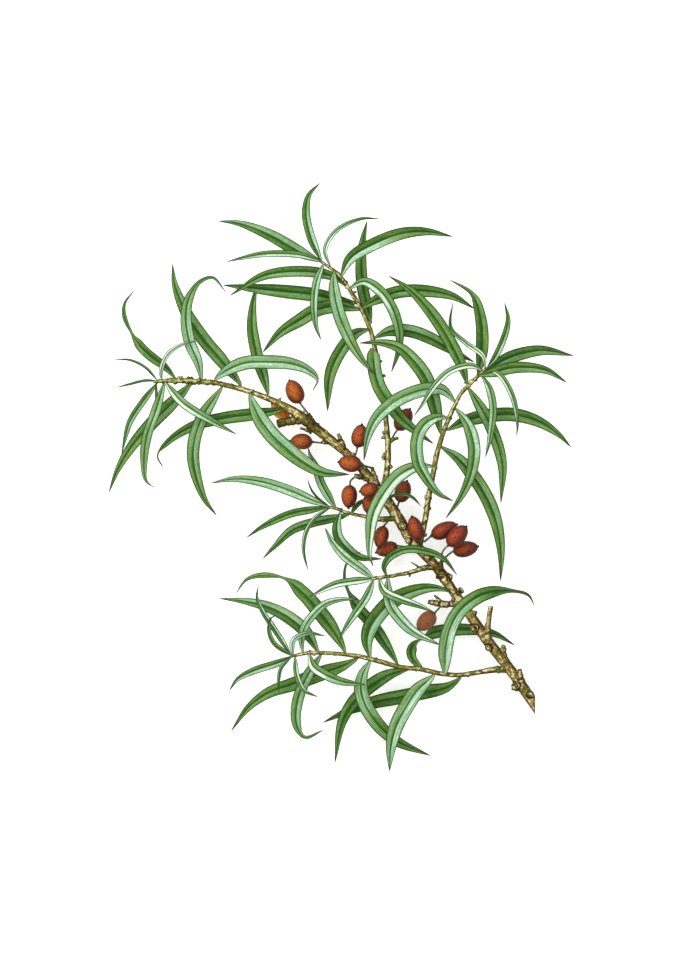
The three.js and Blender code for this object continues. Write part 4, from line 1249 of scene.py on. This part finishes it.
# %% The leaves of the tufts
TUFT_LEAVES = {
    "left_tip_leaves": [
        leaf(4, (0.3, 0.15, 0.45, 0.3), (176, 379, 16.6), (165, 367, 17.5), (148, 354, 17.5),
            (133.5, 338, 16), (124.5, 320, 12), (124, 304, 10), (135, 289, 8), full=SLIM,
            turns=((0.38, 0), (0.55, 74), (0.75, 35), (1, 40))),
        leaf(4.8, (0.7, 0.75, 0.4, 0.45), (202, 382, 17), (198, 362, 19.5), (190, 343, 20),
            (186, 320, 18.5), (189, 298, 16.5), (199, 281.5, 15), (213, 277, 14), (226, 292, 12), full=SLIM,
            turns=((0.55, 0), (0.75, 48), (1, 40))),
        leaf(1.2, (0.2, 0.8), (158, 381, 16.2), (145, 367, 17.5), (130, 360, 17), (113, 359.5, 16)),
        leaf(1.2, (0.3, 0.7), (158, 381, 16.2), (145, 380.5, 16.5), (130, 384, 16), (115, 388, 15)),
        leaf(2, (1.0, 0.9), (162, 381, 16.4), (161, 370, 19.5), (168, 354, 21.5), (182, 344.5, 22.6),
            (198, 341, 22.8)),
        leaf(2.8, (0.65, 0.3), (158, 382, 16), (142, 403, 15.5), (130, 422, 13), (121.5, 454, 9)),
        leaf(5.6, (0.42, 0.4), (193, 382, 16.2), (170, 405, 12.5), (150, 425, 9), (132, 446, 5.5),
            (118, 469, 2.8), (109, 492, 0), full=SLIM),
        leaf(4, (0.7, 0.55, 0.5, 0.5), (165, 381, 16.2), (155, 413, 18), (147, 436, 17), (144, 460, 14),
            (146, 480, 12), (156, 488.5, 12), turns=((0.8, 0), (1, 65))),
        leaf(1.2, (0.5, 0.5), (156, 382, 16), (157, 403, 16.5), (160, 416, 16)),
        leaf(3.6, (0.6, 1.05, 0.5, 0.8), (164, 381, 16.4), (183, 403, 20), (210, 420, 20.5),
            (236, 434, 18.5)),
    ],
    "top_tip_leaves": [
        leaf(3.6, (0.2, 0.85, 0.25, 0.5), (322, 262, 20), (311, 237, 20), (306, 213, 16), (309, 195, 11.5),
            (320, 183, 8)),
        leaf(5.2, (0.1, 0.55, 0.15, 0.6), (322, 262, 19.8), (300, 252, 17), (270, 235, 11.5),
            (240, 223.5, 5), (219, 221, 0), full=SLIM),
        leaf(2.8, (0.9, 0.4, 0.85, 0.35), (322, 262, 20.2), (300, 255, 21), (265, 254, 19), (238, 259, 16),
            (226, 262, 14)),
        leaf(4.4, (0.45, 0.2), (347, 287, 18.9), (338, 279, 18.5), (320, 273, 18.6), (290, 271.5, 18.5),
            (262, 276.5, 16), (230, 295.5, 12)),
        leaf(3.2, (0.85, 0.7, 0.8, 0.5), (324, 263, 20), (317, 280, 22.5), (314, 302, 23), (316, 326, 20),
            (321, 340, 18)),
        leaf(5.2, (0.75, 0.65, 0.45, 0.55), (334, 271, 19.8), (334, 288, 23.5), (338, 310, 26),
            (347, 334, 26), (360, 357, 25), (374, 374, 23.5)),
        leaf(2, (0.9, 1.0, 0.5, 0.5), (331, 268, 19.9), (325, 250, 22), (336, 231, 23), (360, 219, 22),
            (382, 219, 20)),
        leaf(5.2, (0.15, 0.9, 0.15, 0.35), (341, 277, 19.6), (350, 259, 22.5), (370, 246, 24),
            (400, 234, 23), (425, 231.5, 20), (453, 236.5, 16)),
        leaf(4.4, (0.5, 0.9, 0.4, 0.5), (349, 289, 19.2), (364, 281.5, 22), (380, 291, 23), (392, 308, 22),
            (399, 330, 19.5), (399, 348, 18.5), (391.5, 372, 16.5)),
    ],
    "right_tip_leaves": [
        leaf(5.2, (0.1, 0.3), (478, 376, 23.5), (482, 350, 24), (481, 320, 22), (473, 296, 19.5),
            (449, 279.5, 17), full=SLIM, turns=((0.6, 0), (0.78, 52), (1, 42))),
        leaf(2.2, (1.05, 1.0, 0.3, 0.2), (485, 370, 24), (483, 356, 27), (466, 343, 28), (451, 328, 27.5),
            (453, 301, 25), full=SLIM),
        leaf(2.8, (0.2, 0.8, 0.2, 0.4), (487, 368, 24.2), (497, 354, 26), (508, 322, 24), (504.5, 302, 21)),
        leaf(5.2, (0.15, 0.4), (487, 370, 23.8), (510, 357.5, 18.5), (540, 350.5, 11), (573, 355.5, 0),
            full=SLIM),
        leaf(4.8, (0.2, 0.45), (478, 376, 23.8), (495, 372, 26.5), (515, 367.5, 25), (545, 370, 20),
            (567, 382.5, 14), full=SLIM),
        leaf(2.4, (0.5, 1.0, 0.4, 0.8), (487, 369, 24.2), (500, 375, 28), (513, 398, 27), (517.5, 425, 23),
            (516.5, 436, 21.5)),
        leaf(3.2, (0.45, 0.85, 0.5, 0.8), (481, 374, 23.8), (489, 388, 25.5), (493, 407, 25.5),
            (490, 437, 22.5), (485.5, 457.5, 20)),
        leaf(4.8, (0.4, 0.45), (467, 386, 23), (476, 400, 22.3), (490, 425, 20.8), (502, 463, 16.5),
            (501, 503, 12)),
        leaf(2.8, (1.0, 0.7, 0.95, 0.65), (484, 371, 24), (470, 365.5, 29), (450, 371, 31.5),
            (435, 385, 32), (422, 405, 31), (414, 416, 29.5)),
        leaf(5.2, (0.3, 0.35), (468, 386, 22.9), (461, 364, 22.4), (445, 333, 21), (430, 311, 20.5),
            (410, 290, 20), (389, 276, 19.5)),
    ],
    "mid_left_tip_leaves": [
        leaf(4.2, (0.8, 0.7, 0.75, 0.65), (330, 507, 16), (312, 500, 17), (288, 490, 16), (262, 482, 13),
            (235, 479, 9), (211, 483, 5)),
        leaf(1, (0.2, 0.2), (330, 507, 16), (318, 498, 18), (311, 489, 19), (307, 477, 19)),
        leaf(3.6, (0.75, 0.45), (336, 508.5, 16), (328, 496, 17.3), (321, 483, 17), (315, 465, 16),
            (310, 455, 17), (308, 447, 17.8)),
        leaf(3.2, (0.3, 0.2), (330, 507, 16), (310, 510, 15.5), (290, 514, 13.5), (262, 527, 8),
            (246, 538, 5)),
        leaf(3.8, (0.15, 0.45), (351, 513.5, 15.2), (340, 517, 13.5), (315, 522, 11), (292, 530, 8.5),
            (275, 546, 5), (262.5, 559, 2)),
        leaf(1.8, (0.2, 0.9), (331, 507.2, 16), (315, 518, 17), (306, 532, 17), (303.5, 550, 15),
            (308.5, 572, 11)),
        leaf(4, (0.85, 0.15, 0.5, 0.15), (341, 511, 15.7), (337, 524, 16), (338, 536, 15), (346, 547, 13.5),
            (360, 557, 12.3), (382, 559, 12)),
        leaf(2, (0.4, 0.4), (351, 513.5, 15.2), (357, 505, 12.5), (364, 500.5, 10.5), (370, 500, 10)),
    ],
    "middle_tip_leaves": [
        leaf(3.8, (0.8, 0.85), (374, 578.5, 15), (362, 569, 17), (345, 556.5, 18.6), (333, 543, 18.6),
            (325, 528, 17)),
        leaf(3.2, (0.95, 0.5), (374, 579, 15), (355, 581, 16.5), (335, 584.5, 17.3), (309, 597, 16)),
        leaf(3.2, (0.2, 0.35), (387, 576.5, 14.8), (384, 567, 17.5), (390, 557, 20), (406, 549.5, 22),
            (425, 551, 21), (443, 558, 18), (457, 575, 13.5)),
        leaf(3.2, (0.85, 0.5), (374, 579, 15), (366, 598, 18), (354, 615, 19), (342, 634, 17.5),
            (340, 640, 17)),
        leaf(3.2, (1.05, 0.55, 0.9, 0.3), (379, 578, 15), (384, 591, 19), (400, 599, 23), (420, 606, 22),
            (434.5, 612.5, 19)),
        leaf(4.6, (0.75, 0.7, 0.95, 0.75), (388, 576.5, 14.6), (388, 592, 17), (391, 606, 19.5),
            (401, 620, 20), (414, 632, 18), (440, 645, 13.5)),
    ],
    "lower_left_tip_leaves": [
        leaf(3.4, (0.8, 0.75, 0.9, 0.5), (303, 653.5, 14.7), (301.5, 640, 15.5), (304, 628, 16.2),
            (312, 616, 17.3), (325, 604, 18), (340, 599.5, 18.4), (359, 599.5, 18)),
        leaf(2.2, (1.0, 0.9, 0.6, 0.6), (293, 656, 14.9), (292.5, 642, 17.5), (298, 636.5, 19),
            (308, 633, 19.5), (325, 636, 18)),
        leaf(5.4, (0.15, 0.6, 0.3, 0.65), (319, 653, 14.2), (306, 632, 11.5), (289, 617.5, 9.5),
            (267, 606.5, 8), (244, 601, 6), (219.5, 598.5, 4), full=SLIM),
        leaf(2.4, (0.3, 0.85), (292, 656, 14.8), (275, 630, 13.3), (262, 610, 12.3), (257, 597, 12),
            (258.5, 585, 11.5)),
        leaf(2, (0.2, 0.5), (292, 656, 14.8), (274, 643, 15.2), (269, 630, 16), (271, 618, 16.5),
            (276.5, 615.5, 16)),
        leaf(3.2, (0.75, 0.25), (293, 656, 14.6), (278, 663, 12), (256, 670, 8.5), (238, 679, 6),
            (229, 691, 4)),
        leaf(1.6, (0.2, 0.8), (292, 656, 14.9), (281, 668, 14.3), (278.5, 682, 12.5), (279, 693, 11)),
        leaf(2.2, (0.9, 0.5), (295, 655.5, 14.9), (297, 676, 16.8), (304, 690, 16.3), (318, 697, 15)),
        leaf(4.6, (0.65, 0.55, 0.6, 0.4), (322, 653.2, 14.1), (311, 670, 13), (303, 685, 12.5),
            (297, 704, 11), (296.5, 723, 9), (305, 736.5, 7.5), (323, 730, 8),
            turns=((0.66, 0), (0.8, 48), (1, 20))),
        leaf(3.8, (0.5, 1.05, 0.35, 0.6), (309, 653, 14.8), (313, 666, 17.3), (324, 674, 19.5),
            (340, 681, 20.3), (366, 685, 18.8)),
    ],
}

# %% Build the tufts and their twigs
# How old the bark of each twig is, from 0 for green to 1 for brown.
TWIG_AGES = {
    "left_tip_leaves": 0.0, "top_tip_leaves": 0.5, "right_tip_leaves": 0.5,
    "mid_left_tip_leaves": 0.1, "middle_tip_leaves": 0.4, "lower_left_tip_leaves": 0.7,
}
FOOT_RADIUS = 0.28  # the swelling at a leaf's foot, in mm,
FOOT_SHARE = 0.1  # and by what share of the leaf's width it is larger


def build_tip_twig(name, leaves):
    bm = bmesh.new()
    line = add_tube(bm, TIP_TWIGS[name], sides=18)
    add_leaf_feet(bm, line, every=1.6, size=0.74)
    for knob in KNOBS.get(name, []):
        add_knob(bm, *knob)
    for one in leaves:
        add_knob(bm, *one["stations"][0], FOOT_RADIUS + one["width"] / MM * FOOT_SHARE)
    skin = melt(bm, 0.16 * MM, rounds=2)
    twig = name.replace("leaves", "twig")
    age = TWIG_AGES[name]
    bark_piece(twig, skin, [line], 0.05 * MM, lambda point: age, [twig_bark], name)


for tuft, leaves in TUFT_LEAVES.items():
    leaf_piece(tuft.replace("leaves", "blades"), leaves, tuft)
    build_tip_twig(tuft, leaves)


# %% [markdown]
# ## The long leaves on the shoots
# These are older and darker, and each is a piece of its own. They are grown as the young ones
# are, and listed by the shoot that carries them.

# %% The single leaves
SINGLE_LEAVES = {
    "left": [
        leaf(5.6, (0.3, 0.4), (241, 386, 16.8), (222, 361, 14), (205, 341, 12), (188, 316, 10),
            (175, 285, 8), (172.5, 264, 6)),
        leaf(5.6, (0.62, 0.78), (215, 380, 17.6), (226, 371, 19.5), (245, 363, 21), (268, 362, 21),
            (290, 363.5, 20), (308, 370, 18), (318, 380, 16.5), (313, 391, 15),
            turns=((0.82, 0), (0.93, 62), (1, 50))),
        leaf(4.8, (0.25, 0.4), (268, 395, 16.4), (264, 378, 14), (257, 355, 12.5), (252, 325, 10.5),
            (254, 298, 7.5), (258, 284, 6)),
        leaf(5.2, (0.6, 0.55, 0.45, 0.4), (222, 387, 16.6), (204, 414, 15.5), (195, 437, 13),
            (193.5, 462, 9.5), (204, 498, 4), (216.5, 515.5, 1.5)),
        leaf(5.2, (0.35, 0.2), (288, 408, 15.4), (275, 411, 14.4), (255, 414, 13), (225, 418, 11.5),
            (200, 423.5, 10), (180, 433, 8), (165, 445, 5.5), (158, 456, 4), (163, 467, 3), full=SLIM,
            turns=((0.82, 0), (0.9, 60), (1, 25))),
        leaf(6.6, (0.72, 0.56, 0.65, 0.4), (250, 394, 17.6), (258, 415, 21), (272, 435, 23.5),
            (288, 450, 24), (305, 463, 23), (322, 472, 21.5), (349, 474.5, 18)),
    ],
    "top": [
        leaf(5.6, (0.4, 0.1), (357, 303, 17.8), (340, 301, 15), (315, 295, 13.5), (285, 291.5, 11.5),
            (255, 288.5, 9.5), (223, 285, 7)),
        leaf(5.6, (0.4, 0.25), (361, 310, 18.2), (340, 306, 17.3), (318, 309.5, 15.5), (300, 320, 13.5),
            (280, 333, 11.5), (263, 352, 9.5)),
        leaf(4.8, (0.3, 0.25), (370, 321, 17.4), (368, 310, 15), (363, 290, 14), (361, 265, 13.6),
            (363, 240, 12), (367, 221, 10)),
        leaf(5.2, (0.25, 0.4), (361, 309, 18.4), (374, 301, 17.6), (398, 292, 15.5), (425, 291, 14.5),
            (452, 296, 14), (475, 309, 13)),
        leaf(5.2, (0.6, 0.15, 0.3, 0.15), (374, 338, 17.9), (390, 331, 16.5), (410, 331, 15.5),
            (430, 338, 15), (455, 352, 14), (474, 362, 13)),
        leaf(5.2, (0.45, 0.25), (370, 329, 17.8), (355, 334, 15.5), (340, 352, 14), (330, 375, 12.5),
            (327.5, 411, 9)),
        leaf(5.6, (0.5, 0.45, 0.3, 0.35), (373.5, 352, 19.4), (373.5, 359, 20.8), (375, 372, 21),
            (379, 386, 20.8), (388.5, 402, 20.5), (401, 418.5, 20.4), (415, 430.5, 19.9), (433, 443.5, 19),
            foot=0.5, opening=0.1),
    ],
    "right": [
        leaf(5.6, (0.2, 0.35), (447, 430, 20), (465, 421, 18), (487, 416, 17), (512, 414.5, 15),
            (537, 421, 12.5), (558, 434, 10), (571, 447, 8)),
        leaf(5.6, (0.5, 0.3), (440, 446, 19), (459, 459, 16.5), (474, 477, 14), (488, 500, 10.5),
            (497, 525, 6.8), (501, 552, 3.2), (500.5, 580.5, 0)),
        leaf(5.6, (0.8, 0.6), (455, 402, 22), (442, 389.5, 25.5), (425, 389.5, 27.5), (405, 396, 28),
            (390, 405, 27), (376, 419, 25), (368, 436, 22.5), (364, 460, 18)),
        leaf(5.2, (0.85, 0.5, 0.7, 0.4), (447, 418, 21.2), (436, 417.5, 25), (424, 425, 27),
            (417, 440, 27.5), (418, 461, 27), (424, 474, 25.5), (438, 493, 21.5), (453, 501, 19)),
        leaf(5.6, (0.94, 0.65, 0.96, 0.65), (433, 466, 18.2), (415, 467, 21.5), (397, 477, 23.5),
            (382, 496, 25), (373, 515, 24), (370, 535, 20), (369.5, 555, 17), (373, 566, 15.8)),
        leaf(5.2, (0.82, 0.5, 0.5, 0.35), (456, 409, 21.5), (468, 425, 22.5), (474, 447, 21.5),
            (471.5, 472, 18.5), (461.5, 496, 15), (446, 518, 12), full=SLIM),
        leaf(5.8, (0.3, 0.45), (441, 434, 20), (437, 415, 21.6), (427, 380, 24.3), (414, 361, 23.5),
            (398, 347, 22), (380, 342.5, 21.3), (360, 343, 20.5)),
    ],
    "lower": [
        leaf(5.2, (0.2, 0.3), (421, 668, 10), (413, 659, 9.5), (411, 652, 9), (413, 644, 8), (425, 635, 6),
            (450, 630, 4), (475, 630, 3), (495, 634, 2.4), (514.5, 645, 1.2), foot=0.35,
            turns=((0.1, 0), (0.27, 78), (0.42, 0))),
        leaf(6.4, (0.2, 0.65, 0.2, 0.45), (370, 657, 13.3), (367, 642, 14.5), (370, 628, 15.3),
            (379, 614, 15.6), (391, 602, 15.3), (408, 593, 14.8), (428, 588, 15), (446, 590, 15.9),
            (453, 594, 16.2)),
        leaf(4.8, (0.15, 0.3), (398, 665, 11.8), (385, 643, 11), (372, 624, 10.3), (358, 608, 10.3),
            (347, 592, 11), (343, 576, 12.5), (346, 562, 15), (354, 554, 16.2), (362.5, 550.5, 16.2),
            turns=((0.47, 0), (0.63, 74), (0.86, 68), (1, 60))),
        leaf(6.2, (0.3, 0.35), (345, 652, 13.6), (333, 630, 12.5), (318, 610, 11.5), (303, 593, 11),
            (284, 580, 10.5), (262, 576, 10), (247, 580, 9), (236, 594, 7), full=SLIM,
            turns=((0.48, 0), (0.64, 72), (0.78, 40), (1, 55))),
        leaf(6, (0.35, 0.3), (358, 658, 12.6), (345, 665, 11), (320, 674, 8.5), (295, 683.5, 7),
            (268, 693, 5), (248, 708, 3), (231.5, 730.5, 0), full=SLIM),
        leaf(5.6, (0.2, 0.3), (409, 669, 10.8), (388, 675, 9.5), (368, 688, 8.5), (351, 705, 6.5),
            (341, 725, 4), (335, 762, 0), full=SLIM),
        leaf(5.8, (0.7, 0.65, 0.15, 0.3), (371, 660, 12.8), (363, 674, 15), (361, 690, 15.5),
            (368, 710, 14), (382, 729, 11), (398, 742, 8.5), (430, 755.5, 5)),
        leaf(6.2, (0.85, 0.6, 0.75, 0.55), (434, 675, 9.5), (417, 691, 14), (405, 709, 17), (396, 727, 16),
            (391, 747, 11), (389.5, 771, 4)),
        leaf(5.8, (0.15, 0.25), (461, 677, 7.6), (447, 687, 6), (425, 692, 4.5), (400, 697, 3.5),
            (375, 702, 3), (350, 710, 2.5), (323, 722.5, 1.5)),
        leaf(6, (0.55, 0.88, 0.1, 0.05), (445, 672, 10), (445.5, 650, 16), (449.5, 630, 19), (459, 612, 21),
            (474, 599, 21), (495, 590.5, 18.5), (515, 590, 15), (529, 595, 11), (535.5, 607, 8), foot=0.25,
            opening=0.2, turns=((0.56, 0), (0.8, 60), (0.9, 50), (1, 58))),
    ],
    "main": [
        leaf(1.6, (0.3, 0.4), (390, 497, 16.6), (402, 494, 19.5), (412, 497, 19), (421, 506, 17.5)),
    ],
}

# %% Root a leaf in its stem
ROOT_DEPTH = 0.4 * MM


def rooted(one):
    """The same leaf with one more station in front, just inside the bark of the nearest stem."""
    foot = place(*one["stations"][0])
    spot, radius = min(STEM_PLACES, key=lambda near: (near[0] - foot).length - near[1])
    out = foot - spot
    if out.length < radius - ROOT_DEPTH:
        return one
    root = spot + out.normalized() * (radius - ROOT_DEPTH)
    station = (PLAN_MIDDLE_U + root.x / PLAN_SQUARE, PLAN_MIDDLE_V - root.y / PLAN_SQUARE, root.z / MM)
    return {**one, "stations": (station, *one["stations"])}


# %% Build the single leaves
for side, leaves in SINGLE_LEAVES.items():
    for number, one in enumerate(leaves, start=1):
        leaf_piece(f"blade_{side}_{number}", [rooted(one)], f"leaf_{side}_{number}")


# %% [markdown]
# ## The berries
# A berry is an egg of thin glossy skin, orange-brown where it ripens first and deep red further
# on, mottled with darker flecks and dusted with scales. At its free end sits the dark dried
# remnant of the flower, the calyx, and it hangs from a short stiff stalk.
# A ball squashed in object mode would look like plastic, so a sphere's rings are set out along
# the berry's own axis, fuller at the stalk end, and the finish mottles it. Two berries have
# ripened another way than the rest, and have skins of their own.


# %% Berry skin
def berry_skin(name, faded, gone_to=tint(0.53, 0.35, 0.23)):
    """Faded is how far the red has gone from it, from 0 to 1, and gone_to what it leaves."""
    finish = Finish(name, Specular_IOR_Level=0.14, Coat_Roughness=0.25)
    ripe, painted_light, towards_calyx = finish.parts(finish.attribute("skin"))
    here = finish.millimetres()
    mottle = finish.cloud(here, scale=0.5, detail=3.0)
    flecks = finish.cloud(here, scale=2.4, detail=4.0)
    pores = finish.dots(here, 0.95, size=0.20, edge=0.33)
    scales = finish.dots(here, 1.4, size=0.12, edge=0.24)

    ripe = ripe + (mottle - 0.5) * 0.7
    # Painted light and shade: the lit colours on the side turned to the window, the shaded ones on the side
    # away from it.
    lit_colour = finish.mix(ripe, tint(0.73, 0.38, 0.09), tint(0.63, 0.25, 0.11))
    shaded_colour = finish.mix(ripe, tint(0.34, 0.12, 0.03), tint(0.24, 0.05, 0.03))
    colour = finish.coats(
        finish.mix((painted_light + flecks - 0.5).rise(0.48, 1.16), shaded_colour, lit_colour),
        (flecks.rise(0.50, 0.66) * 0.6, tint(0.38, 0.09, 0.03)),
        (faded * (0.7 + mottle * 0.5), gone_to),
        (scales * 0.35, tint(0.80, 0.48, 0.20)),
        (pores * (0.85 - faded * 0.6), tint(0.15, 0.04, 0.02)),
        (towards_calyx.rise(0.91, 0.985) * 0.9, tint(0.14, 0.06, 0.04)),
    )
    height = flecks * 0.5 - pores * 0.6 + scales * 0.3
    return finish.paint(
        Base_Color=colour,
        Roughness=0.38 + flecks * 0.2,
        Coat_Weight=0.07 - pores * 0.06,
        Normal=finish.relief(height, 0.05 * MM),
    )


ripe_skin = berry_skin("ripe_skin", faded=0.0)
faded_skin = berry_skin("faded_skin", faded=0.7)
golden_skin = berry_skin("golden_skin", faded=0.6, gone_to=tint(0.93, 0.58, 0.13))


# %% Dried calyx
def dried_calyx():
    finish = Finish("dried_calyx", Specular_IOR_Level=0.2)
    fibres = finish.cloud(finish.millimetres(), scale=3.0, detail=4.0)
    colour = finish.mix(fibres.rise(0.4, 0.6), tint(0.10, 0.06, 0.05), tint(0.24, 0.15, 0.10))
    return finish.paint(
        Base_Color=colour, Roughness=0.8 + fibres * 0.1, Normal=finish.relief(fibres, 0.05 * MM)
    )


calyx_brown = dried_calyx()

# %% Where the berries hang
PALEST_U = 290  # how far right berries start to redden, and from where they are as red as any
REDDEST_U = 440


def berry(width, calyx, end, *stalk, skin=ripe_skin):
    """Width in mm, the calyx end, the stalk end, and the stalk's way back to the stem."""
    ripe = min(max((calyx[0] - PALEST_U) / (REDDEST_U - PALEST_U), 0.0), 1.0)
    return {
        "width": width * MM, "calyx": calyx, "end": end, "stalk": stalk, "ripe": ripe, "skin": skin,
    }


BERRIES = [
    berry(7.2, (289.5, 380.5, 14.6), (300, 403, 15.4), (308, 413.5, 16.2)),
    berry(6.4, (272, 404, 9.6), (289, 417, 10.4), (297, 421, 13), skin=golden_skin),
    berry(6.4, (290.5, 441, 12.2), (312.5, 442, 12.8), (322, 443, 14.5)),
    berry(6.6, (362, 424.5, 16.8), (357.5, 447.5, 16.2), (355.5, 455, 16.5)),
    berry(6.8, (338.5, 462, 20.6), (361.5, 465, 20.6), (372, 468, 17.5)),
    berry(6.4, (348.5, 508, 15.5), (350, 485, 15.5), (350.5, 481, 15.3), (356, 476, 15)),
    berry(6.2, (360, 491.5, 19.8), (379, 489, 20), (385, 488, 17)),
    berry(5.6, (367, 512.5, 14.2), (371, 494, 14.2), (374, 489, 14.2)),
    berry(6.6, (407, 481, 14), (399, 502, 14), (396, 510, 14)),
    berry(6.8, (410, 409, 13.8), (397, 430, 14.8), (391, 440, 16.8)),
    berry(6.2, (412, 516.5, 18.8), (419, 541, 17.4), (420, 546, 14)),
    berry(5.8, (378.5, 548, 15), (384, 526, 15), (390, 519, 14)),
    berry(6, (376, 552.5, 9.2), (398, 546, 9.6), (406, 547, 10), (414, 549, 11)),
    berry(6.6, (457, 524.5, 9.6), (431.5, 536, 10.4), (424, 542, 12)),
    berry(7, (466.5, 526.5, 15), (448, 545.5, 15), (443, 551, 14.6), (441, 561, 12.6)),
    berry(6.4, (478, 546.5, 9.2), (453, 551.5, 9.8), (447, 556, 11), (442, 563, 12.2)),
    berry(6.8, (418, 629.5, 10.6), (434.5, 613, 10.4), (441, 606, 9.8), skin=faded_skin),
]
lengths = [(place(*one["calyx"]) - place(*one["end"])).length / MM for one in BERRIES]
print("the berries are", round(min(lengths), 1), "to", round(max(lengths), 1), "mm long")

# %% Flesh and calyx
BERRY_TAPER = 0.10  # how much fuller the stalk end is than the calyx end
BERRY_LUMPS = 400  # how fine the unevenness of the skin is, and how deep as a share of the width
BERRY_LUMP_DEPTH = 0.03
CALYX_HALF = 0.72 * MM
CALYX_LENGTH = 1.2 * MM


def add_flesh(bm, one):
    foot, top = place(*one["end"]), place(*one["calyx"])
    axis = top - foot
    side, up = across(axis.normalized())
    made = bmesh.ops.create_uvsphere(bm, u_segments=36, v_segments=24, radius=1)["verts"]
    for vert in made:
        share = (vert.co.z + 1) / 2
        fat = one["width"] / 2 * (1 - BERRY_TAPER * vert.co.z)
        spoke = side * vert.co.x - up * vert.co.y
        lump = noise.noise((foot + spoke * fat) * BERRY_LUMPS) * BERRY_LUMP_DEPTH
        vert.co = foot + axis * share + spoke * fat * (1 + lump)
    bm.normal_update()
    # Each point keeps its ripeness, its painted light and how far it is towards the calyx.
    skins = [
        (one["ripe"], painted_light_on(vert.normal), (vert.co - foot).dot(axis) / axis.length_squared)
        for vert in made
    ]
    return top, axis.normalized(), skins


def add_calyx(bm, top, axis):
    """A little dark crown: a short cone, its rim pushed out and its end hollowed."""
    turn = axis.to_track_quat("Z", "Y").to_matrix().to_4x4()
    spot = Matrix.Translation(top - axis * CALYX_LENGTH * 0.1)
    cone = bmesh.ops.create_cone(
        bm, cap_ends=True, segments=10, radius1=CALYX_HALF, radius2=CALYX_HALF * 0.55,
        depth=CALYX_LENGTH, matrix=spot @ turn,
    )["verts"]
    faces = list({face for vert in cone for face in vert.link_faces})
    for face in faces:
        face.material_index = 1
    tip = max(faces, key=lambda face: face.calc_center_median().dot(axis))
    inner = bmesh.ops.inset_region(bm, faces=[tip], thickness=CALYX_HALF * 0.2)
    bmesh.ops.translate(bm, verts=tip.verts, vec=-axis * CALYX_LENGTH * 0.3)
    for face in inner["faces"]:
        face.material_index = 1


# %% Stalk
STALK_RADIUS = 0.42
STALK_FLARE = 1.5  # how much wider it is where it goes into the flesh,
STALK_SINKS = 0.06  # by this share of the berry's length
STALK_COLLAR = 1.7  # the swelling under the berry, as a share of the stalk's radius
STALK_AGE = 0.3


def build_stalk(name, one, node):
    bm = bmesh.new()
    way = [*reversed(one["stalk"]), one["end"]]
    into = Vector(one["end"]).lerp(Vector(one["calyx"]), STALK_SINKS)
    stations = [(*station, STALK_RADIUS) for station in way] + [(*into, STALK_RADIUS * STALK_FLARE)]
    line = add_tube(bm, stations, sides=12)
    add_knob(bm, *one["end"], STALK_RADIUS * STALK_COLLAR)
    skin = melt(bm, 0.14 * MM, rounds=3)
    bark_piece(name, skin, [line], 0.03 * MM, lambda point: STALK_AGE, [stalk_bark], node)


# %% Build the berries
for number, one in enumerate(BERRIES, start=1):
    node = f"berry_{number:02d}"
    bm = bmesh.new()
    top, axis, skins = add_flesh(bm, one)
    add_calyx(bm, top, axis)
    calyx_points = len(bm.verts) - len(skins)
    flesh = make_piece(f"flesh_{number:02d}", bm, [one["skin"], calyx_brown], node)
    record(flesh, "skin", skins + [(0, 0, 1)] * calyx_points)
    build_stalk(f"stalk_{number:02d}", one, node)
print("made", len(BERRIES), "berries with their stalks")

# %% [markdown]
# ## The two boxes
# Both boxes are printed: the one of the imported model and the one of the finished pieces.
# The finished pieces may stand only a little proud of the imported model.

# %% Write both boxes
visual_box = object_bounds()
boxes = {"cad": cad_box, "visual": visual_box}
for name, box in boxes.items():
    print(name, [round(high - low, 4) for low, high in zip(*box)])
